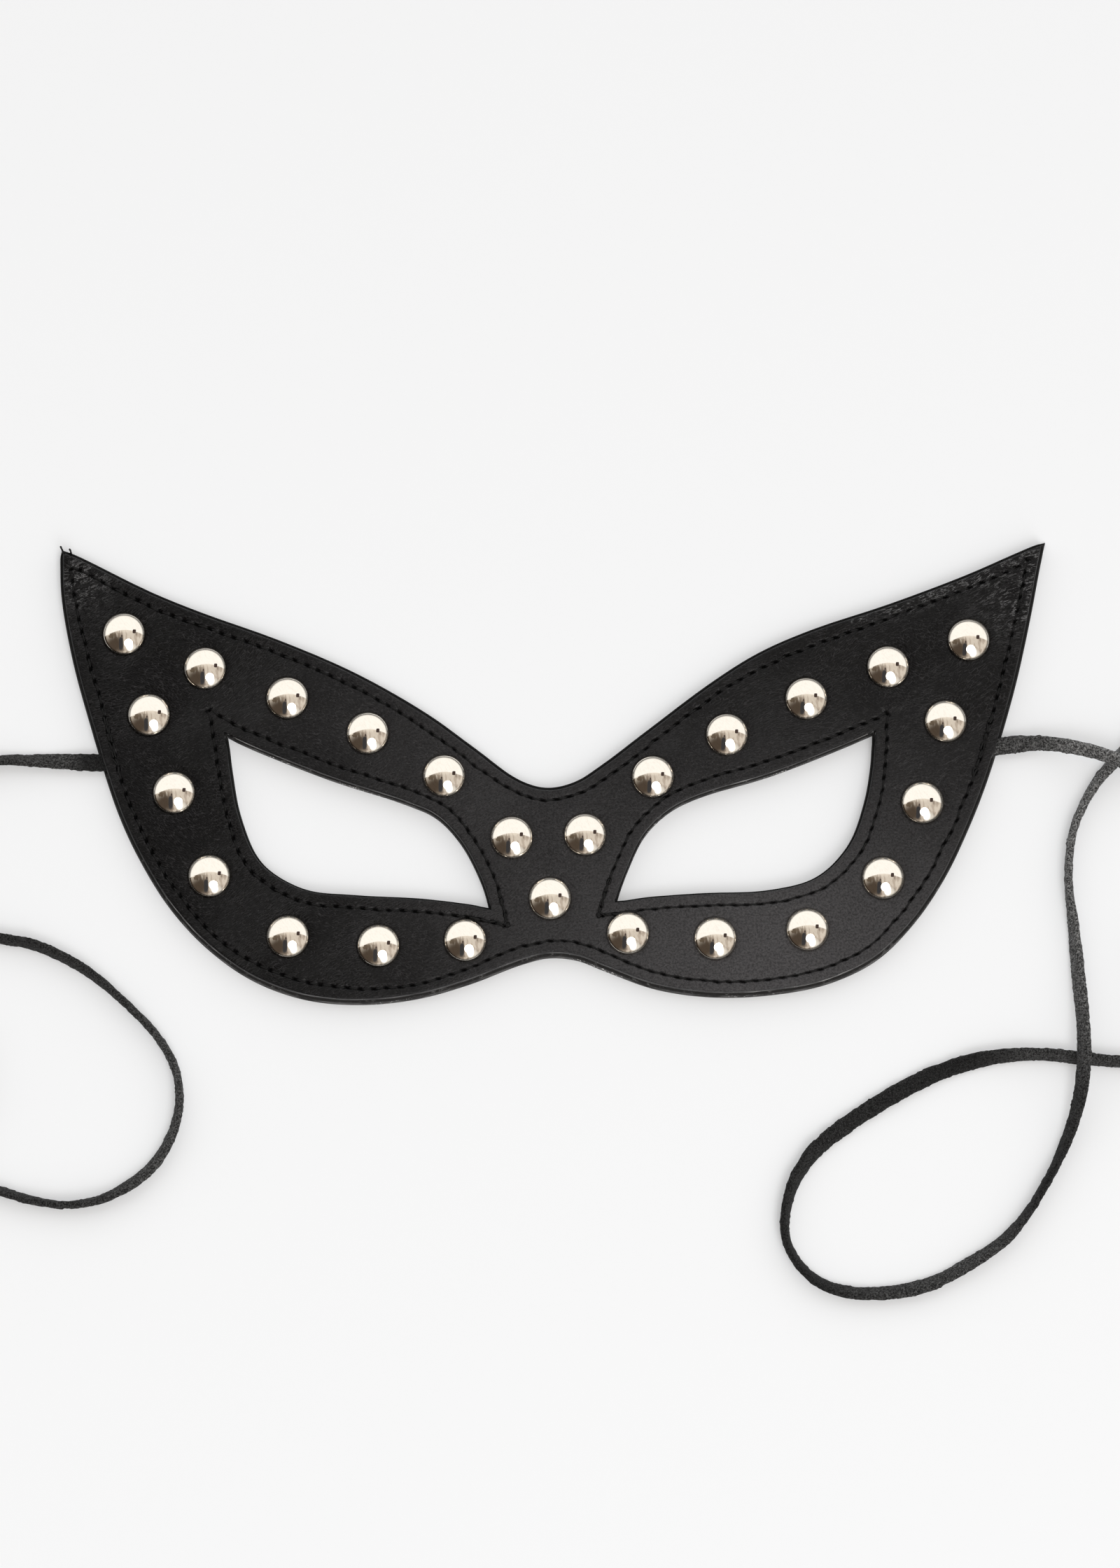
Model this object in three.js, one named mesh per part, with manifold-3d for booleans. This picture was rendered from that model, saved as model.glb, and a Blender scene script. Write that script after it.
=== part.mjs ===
// Cat-eye masquerade mask in laminated black leather, lying flat on its lining.
//
// Three cut layers are glued together and sewn round the outline and round both eye openings.
// Domed two-piece rivets stud the front: each cap sits on the front leather, and its base, a
// flange with a post, sits behind the leather in a clearance hole of the stiffener core. A flat
// suede lace is sewn into each side. Each lace lies loose and ends in a neat coil.
//
// Units are millimetres. +X runs to the right across the front, +Y up it and +Z out of it.
// The origin is at the centre of the mask's outline, on the surface that it lies on.

import * as THREE from 'three';
import { mergeVertices } from 'three/addons/utils/BufferGeometryUtils.js';
import Module from 'manifold-3d';

// Layers, from the back to the front. The edge slopes, so each layer is a little smaller.
const LINING = { thickness: 0.8, inset: 0 };
const CORE = { thickness: 1.6, inset: 0.4 };
const FRONT = { thickness: 1.1, inset: 0.85 };
const CORE_Z = LINING.thickness;
const FRONT_Z = CORE_Z + CORE.thickness;
const FACE_Z = FRONT_Z + FRONT.thickness;

// Studs
const CAP_RADIUS = 4;
const CAP_RIM_HEIGHT = 0.4;
const CAP_HEIGHT = 1.9;
const CAP_SEGMENTS = 12;
const POST_RADIUS = 1.3;
const POST_HOLE_RADIUS = 1.6;
const POST_RISE = 0.75;
const FLANGE_RADIUS = 3.1;
const FLANGE_THICKNESS = 0.5;
const BASE_SEGMENTS = 10;
const CORE_HOLE_RADIUS = 3.5;
const CLEARANCE = 0.3;

// Seams
const OUTER_SEAM_INSET = 3.1;
const EYE_SEAM_INSET = 2.8;
const THREAD_WIDTH = 0.5;
const THREAD_HEIGHT = 0.3;

// Laces
const LACE_WIDTH = 3.2;
const LACE_THICKNESS = 1.3;
const LACE_LENGTH = 500;
const LACE_STEP = 7;
const COIL_RADIUS = 19;
const COIL_PITCH = 2.1;
const COIL_HEIGHT = 3.4;
const COIL_SEGMENTS = 28;
const POCKET_LENGTH = 12.5;
const POCKET_WIDTH = 4.2;

// Round the outline, clockwise from the middle of the brow.
const OUTLINE = [
  [-1, -3], [4.5, -1.8], [10, 1.7], [18.5, 8.2], [32, 18.4], [41.5, 24.4], [52, 29],
  [67.5, 34.2], [83, 40.1], [92.5, 44.3], [97, 46.2], [98.5, 46.6], [99.1, 46.1],
  [98.9, 44.8], [98.1, 41], [96, 30.5], [92.7, 16.5], [87.2, -1.3], [83, -11.8],
  [78.2, -21.5], [72, -30.5], [64.5, -37.8], [55, -42.4], [44, -44.6], [32, -45.1],
  [20.5, -43.5], [10.5, -39.9], [5, -37.8], [-0.5, -37.3], [-6, -38.6], [-16.5, -42.6],
  [-27, -45.5], [-38, -46.6], [-49, -45.6], [-59.5, -41.8], [-68.5, -35.5], [-76, -27.5],
  [-82, -18.1], [-86.7, -8.2], [-92.8, 10.5], [-96.3, 23], [-98.6, 35], [-99, 41],
  [-98.9, 44.5], [-98.4, 45.1], [-97.2, 44.8], [-95, 43.9], [-80.5, 36.7], [-70, 32.4],
  [-55, 27], [-39.5, 20.3], [-25, 12], [-15.5, 5.1], [-6.5, -1.4],
];

// Round each eye opening, from its outer corner down, in along the cheek and back up the brow.
const LEFT_EYE = [
  [-64.6, 6.2], [-64.4, 4.5], [-63.8, 0], [-62, -9], [-57.8, -18.1], [-49.5, -23.4],
  [-39, -24.7], [-26, -25.4], [-16, -26.6], [-13.2, -27.1], [-12.8, -26.9], [-12.9, -26.2],
  [-14.1, -22.4], [-18, -14.8], [-23, -9.4], [-29, -6.6], [-44, -1.7], [-59, 4.2],
  [-63, 6], [-64.3, 6.6],
];
const RIGHT_EYE = [
  [64, 6.7], [63.9, 4.5], [63.6, 1], [62.3, -6], [59, -14.6], [52.5, -21.1],
  [43, -23.7], [30, -24.3], [19, -25.1], [13.9, -25.8], [13.2, -25.7], [13.3, -25],
  [15.3, -19.5], [18.5, -13], [23.2, -8.3], [29, -5.3], [44, -0.7], [59, 5.2],
  [62.9, 6.9], [63.7, 7.2],
];

// Stud centres, in the rows that they are set in.
const STUD_ROWS = {
  left_brow: [[-85.7, 27.7], [-69.4, 20.7], [-52.9, 14.7], [-36.8, 7.6], [-21.5, -1]],
  left_temple: [[-80.5, 11.3], [-75.3, -4.4], [-68.1, -21.1]],
  left_cheek: [[-52.4, -33.2], [-34.4, -35], [-17.2, -33.9]],
  nose: [[-8, -13.4], [-0.4, -25.6], [6.6, -12.8]],
  right_cheek: [[15.1, -32.5], [32.4, -33.6], [50.7, -31.8]],
  right_temple: [[65.8, -21.5], [73.8, -6.4], [78.6, 10]],
  right_brow: [[83.4, 26.5], [67.2, 21], [50.8, 14.6], [34.9, 7.3], [20.1, -1.2]],
};

// Each lace from its sewn root to the last point before its coil. The lace rises over itself
// in a long low hump where it crosses itself.
const LEFT_LACE = [
  [-80, 1.5, 1.6], [-86, 1.7, 1.6], [-92.6, 1.9, 1.6], [-97, 2.1, 1.4], [-103.5, 2.3, 1],
  [-110.5, 2.3, 0.9], [-118, 0.6, 0.9], [-124.5, -4.7, 1], [-127.8, -11.8, 1.1],
  [-127.6, -19.8, 1.1], [-123.8, -27, 1.1], [-117.8, -31.6, 1], [-109.8, -33.4, 0.9],
  [-103.3, -34.6, 0.9], [-97, -37.2, 1], [-91.2, -40.7, 1.1], [-84, -46.8, 1.1],
  [-78.3, -52.8, 1.1], [-74.9, -58.4, 1.2], [-73.6, -64.6, 1.2], [-74.9, -72, 1.2],
  [-79.2, -79, 1.1], [-85, -83.3, 1], [-90.4, -85.5, 0.9], [-96.3, -86.2, 0.9],
  [-102.8, -85.2, 0.9], [-109, -83.4, 0.9], [-115.8, -81.7, 1.1], [-122.3, -81, 1.4],
];
const RIGHT_LACE = [
  [79.5, 3.8, 1.6], [85, 4.5, 1.6], [91.5, 5.4, 1.6], [97.3, 5.7, 2.2], [104.4, 4.6, 3.4],
  [109, 3.3, 4], [113, 1.8, 3.9], [118.5, -0.5, 2.4], [125, -2.4, 1.1], [130.6, -0.8, 0.9],
  [133.6, 4, 0.9], [132.3, 9.8, 1], [127, 13.4, 1.1], [120.8, 11.8, 1.1], [116, 6.6, 1],
  [112.2, 2, 0.9], [108.2, -2.8, 0.9], [103.9, -11.8, 1], [102.8, -21.6, 1.1],
  [103.7, -31.5, 1.2], [104.5, -42, 2.2], [105, -50.5, 3.4], [105, -57.3, 4],
  [104.2, -64.5, 3.4], [102, -72.4, 2], [97, -82.6, 1], [90.2, -92, 1],
  [82, -97.8, 1.1], [74.5, -101.6, 1.1], [67.5, -103.2, 1.1], [60.5, -103.5, 1.1],
  [53.8, -102, 1.1], [48.9, -98.2, 1.2], [46, -92.4, 1.2], [47, -83.6, 1.1],
  [51.3, -76.2, 1], [58.8, -70, 0.9], [68, -64.2, 0.9], [77.1, -59.8, 0.9],
  [86.5, -57.2, 0.9], [95.6, -56.4, 0.9], [104.6, -57.2, 0.9], [112.6, -58, 0.9],
  [119.4, -58.4, 1.1], [127.2, -58.5, 1.4],
];

// Where the coils lie.
const LEFT_COIL = { x: -133.5, y: -59.8 };
const RIGHT_COIL = { x: 137.5, y: -38.2 };

const wasm = await Module();
wasm.setup();

function paint(color, roughness, metalness) {
  return new THREE.MeshStandardMaterial({ color, roughness, metalness });
}

const LEATHER = { color: 0x141416, roughness: 0.45, metalness: 0 };
const LINING_LEATHER = { color: 0x1c1b1b, roughness: 0.7, metalness: 0 };
const CORE_LEATHER = { color: 0x2a2829, roughness: 0.8, metalness: 0 };
const NICKEL = { color: 0xcfcac0, roughness: 0.12, metalness: 1 };
const STEEL = { color: 0x9a9a98, roughness: 0.35, metalness: 1 };
const THREAD = { color: 0x0c0c0d, roughness: 0.6, metalness: 0 };
const SUEDE = { color: 0x2e2d2f, roughness: 0.95, metalness: 0 };

function node(name, geometry, look) {
  const mesh = new THREE.Mesh(geometry, paint(look.color, look.roughness, look.metalness));
  mesh.name = name;
  return mesh;
}

// ---- outlines ----

// A smooth closed loop through the points, sampled evenly between each pair, anticlockwise.
function loopThrough(points, samplesPerSpan) {
  const corners = points.map(([x, y]) => new THREE.Vector3(x, y, 0));
  const curve = new THREE.CatmullRomCurve3(corners, true, 'centripetal');
  const samples = curve.getPoints(points.length * samplesPerSpan).slice(0, -1);
  const loop = samples.map(({ x, y }) => new THREE.Vector2(x, y));
  return THREE.ShapeUtils.isClockWise(loop) ? loop.reverse() : loop;
}

// A loop as the hole of a shape, which runs clockwise.
function holeThrough(loop) {
  return new THREE.Path([...loop].reverse());
}

function distanceToLoop(point, loop) {
  let nearest = Infinity;
  loop.forEach((start, i) => {
    const along = loop[(i + 1) % loop.length].clone().sub(start);
    const reach = point.clone().sub(start).dot(along) / along.lengthSq();
    const foot = start.clone().addScaledVector(along, THREE.MathUtils.clamp(reach, 0, 1));
    nearest = Math.min(nearest, foot.distanceTo(point));
  });
  return nearest;
}

// The loop moved into the leather by a distance: in from the outline, or out from an opening.
function movedIn(loop, distance, isOpening) {
  const side = isOpening ? 1 : -1;
  const moved = loop.map((point, i) => {
    const before = loop.at(i - 1);
    const after = loop[(i + 1) % loop.length];
    const along = after.clone().sub(before).normalize();
    return new THREE.Vector2(along.y, -along.x).multiplyScalar(side * distance).add(point);
  });
  const slack = 0.03;
  return moved.filter((point) => distanceToLoop(point, loop) > distance - slack);
}

const SAMPLES_PER_SPAN = 4;
const outline = loopThrough(OUTLINE, SAMPLES_PER_SPAN);
const eyes = {
  left: loopThrough(LEFT_EYE, SAMPLES_PER_SPAN),
  right: loopThrough(RIGHT_EYE, SAMPLES_PER_SPAN),
};

// ---- layers ----

function circle([x, y], radius, segments) {
  return Array.from({ length: segments }, (_, i) => {
    const angle = (2 * Math.PI * i) / segments;
    return new THREE.Vector2(x + radius * Math.cos(angle), y + radius * Math.sin(angle));
  });
}

function layerGeometry({ thickness, inset }, studHoleRadius) {
  const shape = new THREE.Shape(movedIn(outline, inset, false));
  Object.values(eyes).forEach((eye) => {
    shape.holes.push(holeThrough(movedIn(eye, inset, true)));
  });
  if (studHoleRadius) {
    Object.values(STUD_ROWS).flat().forEach((centre) => {
      shape.holes.push(holeThrough(circle(centre, studHoleRadius, BASE_SEGMENTS)));
    });
  }
  return new THREE.ExtrudeGeometry(shape, { depth: thickness, bevelEnabled: false });
}

function toSolid(geometry) {
  const bare = geometry.clone();
  bare.deleteAttribute('normal');
  bare.deleteAttribute('uv');
  const merged = mergeVertices(bare, 1e-5);
  return new wasm.Manifold(new wasm.Mesh({
    numProp: 3,
    vertProperties: new Float32Array(merged.attributes.position.array),
    triVerts: new Uint32Array(merged.index.array),
  }));
}

function toGeometry(solid) {
  const mesh = solid.getMesh();
  const geometry = new THREE.BufferGeometry();
  geometry.setAttribute('position', new THREE.BufferAttribute(mesh.vertProperties, 3));
  geometry.setIndex(new THREE.BufferAttribute(mesh.triVerts, 1));
  geometry.computeVertexNormals();
  return geometry;
}

// The space that a lace's root takes out of the core: a box from the root's end out past the edge.
function lacePocket(lace) {
  const [[x0, y0], , [x1, y1]] = lace;
  const along = new THREE.Vector2(x1 - x0, y1 - y0).normalize();
  const past = 4;
  const length = POCKET_LENGTH + past;
  const box = new THREE.BoxGeometry(length, POCKET_WIDTH, 3 * CORE.thickness);
  const gap = 2 * CLEARANCE;
  const middle = length / 2 - gap;
  box.rotateZ(along.angle());
  box.translate(x0 + along.x * middle, y0 + along.y * middle, CORE.thickness / 2);
  return toSolid(box);
}

function coreGeometry() {
  const sheet = toSolid(layerGeometry(CORE, CORE_HOLE_RADIUS));
  const cut = sheet.subtract(lacePocket(LEFT_LACE)).subtract(lacePocket(RIGHT_LACE));
  return toGeometry(cut);
}

function layers() {
  const lining = node('lining', layerGeometry(LINING, 0), LINING_LEATHER);
  const core = node('stiffener_core', coreGeometry(), CORE_LEATHER);
  core.position.z = CORE_Z;
  const front = node('front_leather', layerGeometry(FRONT, POST_HOLE_RADIUS), LEATHER);
  front.position.z = FRONT_Z;
  return [lining, core, front];
}

// ---- studs ----

function turned(profile, segments) {
  const points = profile.map(([radius, height]) => new THREE.Vector2(radius, height));
  return new THREE.LatheGeometry(points, segments).rotateX(Math.PI / 2);
}

// A low dome on a short upright rim, hollow where the post's tip goes.
function capGeometry() {
  const rise = CAP_HEIGHT - CAP_RIM_HEIGHT;
  const sphereRadius = (CAP_RADIUS ** 2 + rise ** 2) / (2 * rise);
  const domeHeight = (radius) => (
    CAP_HEIGHT - sphereRadius + Math.sqrt(sphereRadius ** 2 - radius ** 2)
  );
  const rings = [0.72, 0.38].map((share) => share * CAP_RADIUS);
  const hollow = POST_RISE + CLEARANCE;
  return turned([
    [0, hollow],
    [POST_HOLE_RADIUS, hollow],
    [POST_HOLE_RADIUS, 0],
    [CAP_RADIUS, 0],
    [CAP_RADIUS, CAP_RIM_HEIGHT],
    ...rings.map((radius) => [radius, domeHeight(radius)]),
    [0, CAP_HEIGHT],
  ], CAP_SEGMENTS);
}

// A flange that bears on the back of the front leather, with a post through it.
function baseGeometry() {
  return turned([
    [0, -FLANGE_THICKNESS],
    [FLANGE_RADIUS, -FLANGE_THICKNESS],
    [FLANGE_RADIUS, 0],
    [POST_RADIUS, 0],
    [POST_RADIUS, FRONT.thickness + POST_RISE],
    [0, FRONT.thickness + POST_RISE],
  ], BASE_SEGMENTS);
}

function studs() {
  const group = new THREE.Group();
  Object.entries(STUD_ROWS).forEach(([row, centres]) => {
    centres.forEach(([x, y], i) => {
      const cap = node(`stud_cap_${row}_${i + 1}`, capGeometry(), NICKEL);
      cap.position.set(x, y, FACE_Z);
      const base = node(`stud_base_${row}_${i + 1}`, baseGeometry(), STEEL);
      base.position.set(x, y, FRONT_Z);
      group.add(cap, base);
    });
  });
  return group;
}

// ---- seams ----

// The room round the stud caps, which seams stop short of.
function capRoom() {
  const depth = 4 * THREAD_HEIGHT;
  return Object.values(STUD_ROWS).flat().map(([x, y]) => {
    const room = new THREE.CylinderGeometry(
      CAP_RADIUS + CLEARANCE,
      CAP_RADIUS + CLEARANCE,
      depth,
      CAP_SEGMENTS,
    );
    return toSolid(room.rotateX(Math.PI / 2).translate(x, y, 0));
  });
}

// One run of thread, lying on the front leather along a loop of the outline or an opening.
function seam(name, points, isOpening) {
  const edge = loopThrough(points, 3);
  const inset = isOpening ? EYE_SEAM_INSET : OUTER_SEAM_INSET;
  const near = movedIn(edge, inset - THREAD_WIDTH / 2, isOpening);
  const far = movedIn(edge, inset + THREAD_WIDTH / 2, isOpening);
  const shape = new THREE.Shape(isOpening ? far : near);
  shape.holes.push(holeThrough(isOpening ? near : far));
  const run = new THREE.ExtrudeGeometry(shape, { depth: THREAD_HEIGHT, bevelEnabled: false });
  const thread = capRoom().reduce((solid, room) => solid.subtract(room), toSolid(run));
  const mesh = node(name, toGeometry(thread), THREAD);
  mesh.position.z = FACE_Z;
  return mesh;
}

// ---- laces ----

// A flat section with eight sides, rounded at both edges.
function laceSection() {
  const [w, t] = [LACE_WIDTH / 2, LACE_THICKNESS / 2];
  const [inner, shoulder] = [0.75 * w, 0.45 * t];
  return new THREE.Shape([
    [t, -inner], [t, inner], [shoulder, w], [-shoulder, w],
    [-t, inner], [-t, -inner], [-shoulder, -w], [shoulder, -w],
  ].map(([x, y]) => new THREE.Vector2(x, y)));
}

function lace(name, route) {
  const curve = new THREE.CatmullRomCurve3(
    route.map((point) => new THREE.Vector3(...point)),
    false,
    'centripetal',
  );
  const steps = Math.round(curve.getLength() / LACE_STEP);
  const options = { extrudePath: curve, steps, bevelEnabled: false };
  return {
    mesh: node(name, new THREE.ExtrudeGeometry(laceSection(), options), SUEDE),
    length: curve.getLength(),
  };
}

// The ring that holds the turns of the length that is left: the lace stands on its edge in it.
function coil(name, laceUsed, { x, y }) {
  const turns = (LACE_LENGTH - laceUsed) / (2 * Math.PI * COIL_RADIUS);
  const half = (turns * COIL_PITCH + LACE_THICKNESS) / 2;
  const ring = turned([
    [COIL_RADIUS - half, 0],
    [COIL_RADIUS + half, 0],
    [COIL_RADIUS + half, COIL_HEIGHT],
    [COIL_RADIUS - half, COIL_HEIGHT],
    [COIL_RADIUS - half, 0],
  ], COIL_SEGMENTS);
  const mesh = node(name, ring, SUEDE);
  mesh.position.set(x, y, 0);
  return mesh;
}

function laces() {
  const left = lace('left_lace', LEFT_LACE);
  const right = lace('right_lace', RIGHT_LACE);
  return [
    left.mesh,
    coil('left_lace_coil', left.length, LEFT_COIL),
    right.mesh,
    coil('right_lace_coil', right.length, RIGHT_COIL),
  ];
}

const mask = new THREE.Group();
mask.name = 'cat_eye_mask';
mask.add(...layers());
mask.add(studs());
mask.add(
  seam('outer_seam_thread', OUTLINE, false),
  seam('left_eye_seam_thread', LEFT_EYE, true),
  seam('right_eye_seam_thread', RIGHT_EYE, true),
);
mask.add(...laces());

export default mask;
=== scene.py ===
"""Cat-eye masquerade mask in black leather, with domed studs, sewn edges and two suede laces.

The outlines, the layers' heights and the studs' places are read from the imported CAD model. The
fine surfaces are built round them: leather that dips at each stitch and stud, an edge in three
painted layers, every lockstitch, and laces with a nap.
"""

import math
import random

import bpy
import numpy as np
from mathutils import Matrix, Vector
from mathutils.geometry import delaunay_2d_cdt
from mathutils.kdtree import KDTree


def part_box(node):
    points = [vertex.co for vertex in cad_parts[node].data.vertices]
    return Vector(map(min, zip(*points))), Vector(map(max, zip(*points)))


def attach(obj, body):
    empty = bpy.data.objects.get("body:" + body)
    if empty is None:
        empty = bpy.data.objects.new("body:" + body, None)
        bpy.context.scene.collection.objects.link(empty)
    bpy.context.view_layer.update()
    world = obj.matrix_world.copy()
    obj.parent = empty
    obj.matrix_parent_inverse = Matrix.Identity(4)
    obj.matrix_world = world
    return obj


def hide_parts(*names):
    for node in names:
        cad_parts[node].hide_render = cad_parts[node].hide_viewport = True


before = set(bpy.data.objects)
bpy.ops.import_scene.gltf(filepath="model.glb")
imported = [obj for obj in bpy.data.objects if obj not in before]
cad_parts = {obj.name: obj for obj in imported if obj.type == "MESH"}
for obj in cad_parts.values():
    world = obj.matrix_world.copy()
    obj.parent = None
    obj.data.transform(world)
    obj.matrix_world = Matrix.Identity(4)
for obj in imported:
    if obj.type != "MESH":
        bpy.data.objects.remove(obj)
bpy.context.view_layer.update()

MM = 0.001
BODY = "root"

# ---- Sizes, in metres ----

FACE_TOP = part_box("front_leather")[1].z
FRONT_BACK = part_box("front_leather")[0].z
CORE_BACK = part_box("stiffener_core")[0].z

EDGE_STEP = 0.42 * MM       # spacing of points along an edge
FINE_STEP = 0.1 * MM        # spacing of points while a line is worked on
CORNER_TURN = math.radians(34)  # a sharper turn than this is a corner
GRID_STEP = 0.72 * MM       # spacing of points inside the panel
POINT_GAP = 0.16 * MM       # the nearest that two points inside it may be
FRONT_INSETS = (0.95 * MM, 0.5 * MM, 0.5 * MM)  # how far each edge of the face is set in
# For the outline's seam and each eye's: how far in it is, how far it wanders, and a seed.
SEAMS = [(3.1 * MM, 0.22 * MM, 20), (2.8 * MM, 0.10 * MM, 21), (2.8 * MM, 0.10 * MM, 22)]
STITCH = 2.62 * MM
THREAD_RADIUS = 0.19 * MM
STUD_RADIUS = 4.28 * MM
STUD_SEAT = 0.2 * MM        # how far the leather dips round a stud

LACE_LENGTH = 0.5
LACE_WIDTH = 3.4 * MM
LACE_THICKNESS = 1.6 * MM
COIL_RADIUS = 19 * MM
COIL_PITCH = 2.1 * MM

# ---- Camera ----

CAMERA_TILT = math.radians(8)
CAMERA_DISTANCE = 0.9
CAMERA_TARGET = Vector((0.0016, -0.0022, 0))
FIELD_HEIGHT = 0.3136
SENSOR = 36.0


def make_camera():
    data = bpy.data.cameras.new("camera")
    data.sensor_width = SENSOR
    data.lens = SENSOR * CAMERA_DISTANCE / FIELD_HEIGHT
    data.clip_end = 20
    camera = bpy.data.objects.new("camera", data)
    away = Vector((0, -math.sin(CAMERA_TILT), math.cos(CAMERA_TILT)))
    camera.location = CAMERA_TARGET + away * CAMERA_DISTANCE
    camera.rotation_euler = (CAMERA_TILT, 0, 0)
    bpy.context.scene.collection.objects.link(camera)
    bpy.context.scene.camera = camera


# ---- Curves ----


def catmull(points, closed, parts):
    """A centripetal Catmull-Rom curve through the points, with parts samples in each span."""
    points = np.asarray(points, float)
    if closed:
        p0, p1 = np.roll(points, 1, 0), points
        p2, p3 = np.roll(points, -1, 0), np.roll(points, -2, 0)
    else:
        first = 2 * points[:1] - points[1:2]
        last = 2 * points[-1:] - points[-2:-1]
        run = np.vstack([first, points, last])
        p0, p1, p2, p3 = run[:-3], run[1:-2], run[2:-1], run[3:]
    d0, d1, d2 = (
        np.maximum(np.linalg.norm(b - a, axis=1), 1e-9)[:, None] ** 0.5
        for a, b in ((p0, p1), (p1, p2), (p2, p3))
    )
    t1 = ((p1 - p0) / d0 - (p2 - p0) / (d0 + d1) + (p2 - p1) / d1) * d1
    t2 = ((p2 - p1) / d1 - (p3 - p1) / (d1 + d2) + (p3 - p2) / d2) * d1
    w = (np.arange(parts) / parts)[None, :, None]
    p1, p2, t1, t2 = (a[:, None] for a in (p1, p2, t1, t2))
    cubic = 2 * p1 - 2 * p2 + t1 + t2
    square = -3 * p1 + 3 * p2 - 2 * t1 - t2
    curve = (p1 + t1 * w + square * w**2 + cubic * w**3).reshape(-1, points.shape[1])
    return curve if closed else np.vstack([curve, points[-1:]])


def lengths_along(line):
    """The length along a line up to each of its points."""
    return np.r_[0, np.cumsum(np.linalg.norm(np.diff(line, axis=0), axis=1))]


def sampled(line, at, wanted):
    """The line at the wanted lengths. at is the length at each of its points."""
    return np.stack([np.interp(wanted, at, column) for column in line.T], 1)


def evenly(line, step, closed=False):
    """The line again, with its points a step apart."""
    run = np.vstack([line, line[:1]]) if closed else np.asarray(line)
    at = lengths_along(run)
    count = max(3, round(at[-1] / step))
    wanted = np.linspace(0, at[-1], count + (not closed), endpoint=not closed)
    return sampled(run, at, wanted)


def unit(vectors):
    """The vectors, or a single one, scaled to a length of 1."""
    return vectors / np.maximum(np.linalg.norm(vectors, axis=-1, keepdims=True), 1e-12)


def turn_left(vectors):
    return np.stack([-vectors[..., 1], vectors[..., 0]], -1)


def tangents(loop):
    return unit(np.roll(loop, -1, 0) - np.roll(loop, 1, 0))


def normals(loop):
    """Unit vectors to the left of the loop at each point."""
    return turn_left(tangents(loop))


def frames_along(centres, ups):
    """Unit vectors to the side and to the top at each point of a line."""
    along = unit(np.gradient(centres, axis=0))
    side = unit(np.cross(along, ups))
    return side, np.cross(side, along)


def circle(count):
    """Points evenly round a circle of radius 1."""
    angle = 2 * math.pi * np.arange(count) / count
    return np.stack([np.cos(angle), np.sin(angle)], 1)


def bell(away, width):
    """1 in the middle, falling smoothly to 0 over two widths."""
    return np.exp(-((away / width) ** 2))


def nearest(points, targets):
    """The distance from each point to the nearest target, and which one it is."""
    tree = KDTree(len(targets))
    for i, (x, y) in enumerate(targets):
        tree.insert((x, y, 0), i)
    tree.balance()
    found = [tree.find((x, y, 0)) for x, y in points]
    return np.array([f[2] for f in found]), np.array([f[1] for f in found], int)


def cross(a, b):
    return a[..., 0] * b[..., 1] - a[..., 1] * b[..., 0]


def corners_of(loop, reach=5):
    """Where a finely sampled loop turns sharply."""
    before = loop - np.roll(loop, reach, 0)
    after = np.roll(loop, -reach, 0) - loop
    turn = np.abs(np.arctan2(cross(before, after), (before * after).sum(1)))
    sharp = []
    for i in np.argsort(-turn):
        if turn[i] < CORNER_TURN:
            break
        gaps = [min(abs(i - j), len(loop) - abs(i - j)) for j in sharp]
        if all(gap > 4 * reach for gap in gaps):
            sharp.append(i)
    return sorted(sharp)


def evenly_closed(loop, step):
    """The closed loop again, with its points a step apart and its corners kept."""
    fine = evenly(loop, FINE_STEP, closed=True)
    sharp = corners_of(fine)
    parts = []
    for start, end in zip(sharp, sharp[1:] + [sharp[0] + len(fine)]):
        section = fine[np.arange(start, end + 1) % len(fine)]
        parts.append(evenly(section, step)[:-1])
    return np.vstack(parts)


def crossing(a, b, c, d):
    """Where the line through a and b meets the line through c and d."""
    along, other = b - a, d - c
    return a + along * cross(c - a, other) / cross(along, other)


def sharpened(loop, cut=9, reach=6):
    """A finely sampled loop with its rounded corners brought to a point."""
    fine = evenly(loop, FINE_STEP, closed=True)
    sharp, count = corners_of(fine), len(fine)
    points = []
    for start, end in zip(sharp, sharp[1:] + sharp[:1]):
        before, after = (start - cut) % count, (start + cut) % count
        tip = crossing(
            fine[before - reach], fine[before], fine[after], fine[(after + reach) % count]
        )
        span = np.arange(start + cut, (end if end > start else end + count) - cut + 1) % count
        points += [tip[None], fine[span]]
    return np.vstack(points)


def moved_in(loop, distance, step=EDGE_STEP):
    """The loop moved into the leather, which is on its left, with mitred corners."""
    fine = evenly_closed(loop, FINE_STEP)
    count = len(fine)
    moved = fine + normals(fine) * distance
    keep = nearest(moved, fine)[0] > distance - 0.01 * MM
    for i in corners_of(fine):
        back, ahead = fine[[i - 5, i - 2]], fine[[(i + 2) % count, (i + 5) % count]]
        into, out = unit(back[1] - back[0]), unit(ahead[1] - ahead[0])
        way = turn_left(unit(into + out))
        mitre = max(0.3, float(way @ turn_left(into)))
        moved[i] = crossing(*back, *ahead) + way * distance / mitre
        keep[i] = True
    return evenly_closed(moved[keep], step)


def area_of(loop):
    return 0.5 * float(cross(loop, np.roll(loop, -1, 0)).sum())


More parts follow.
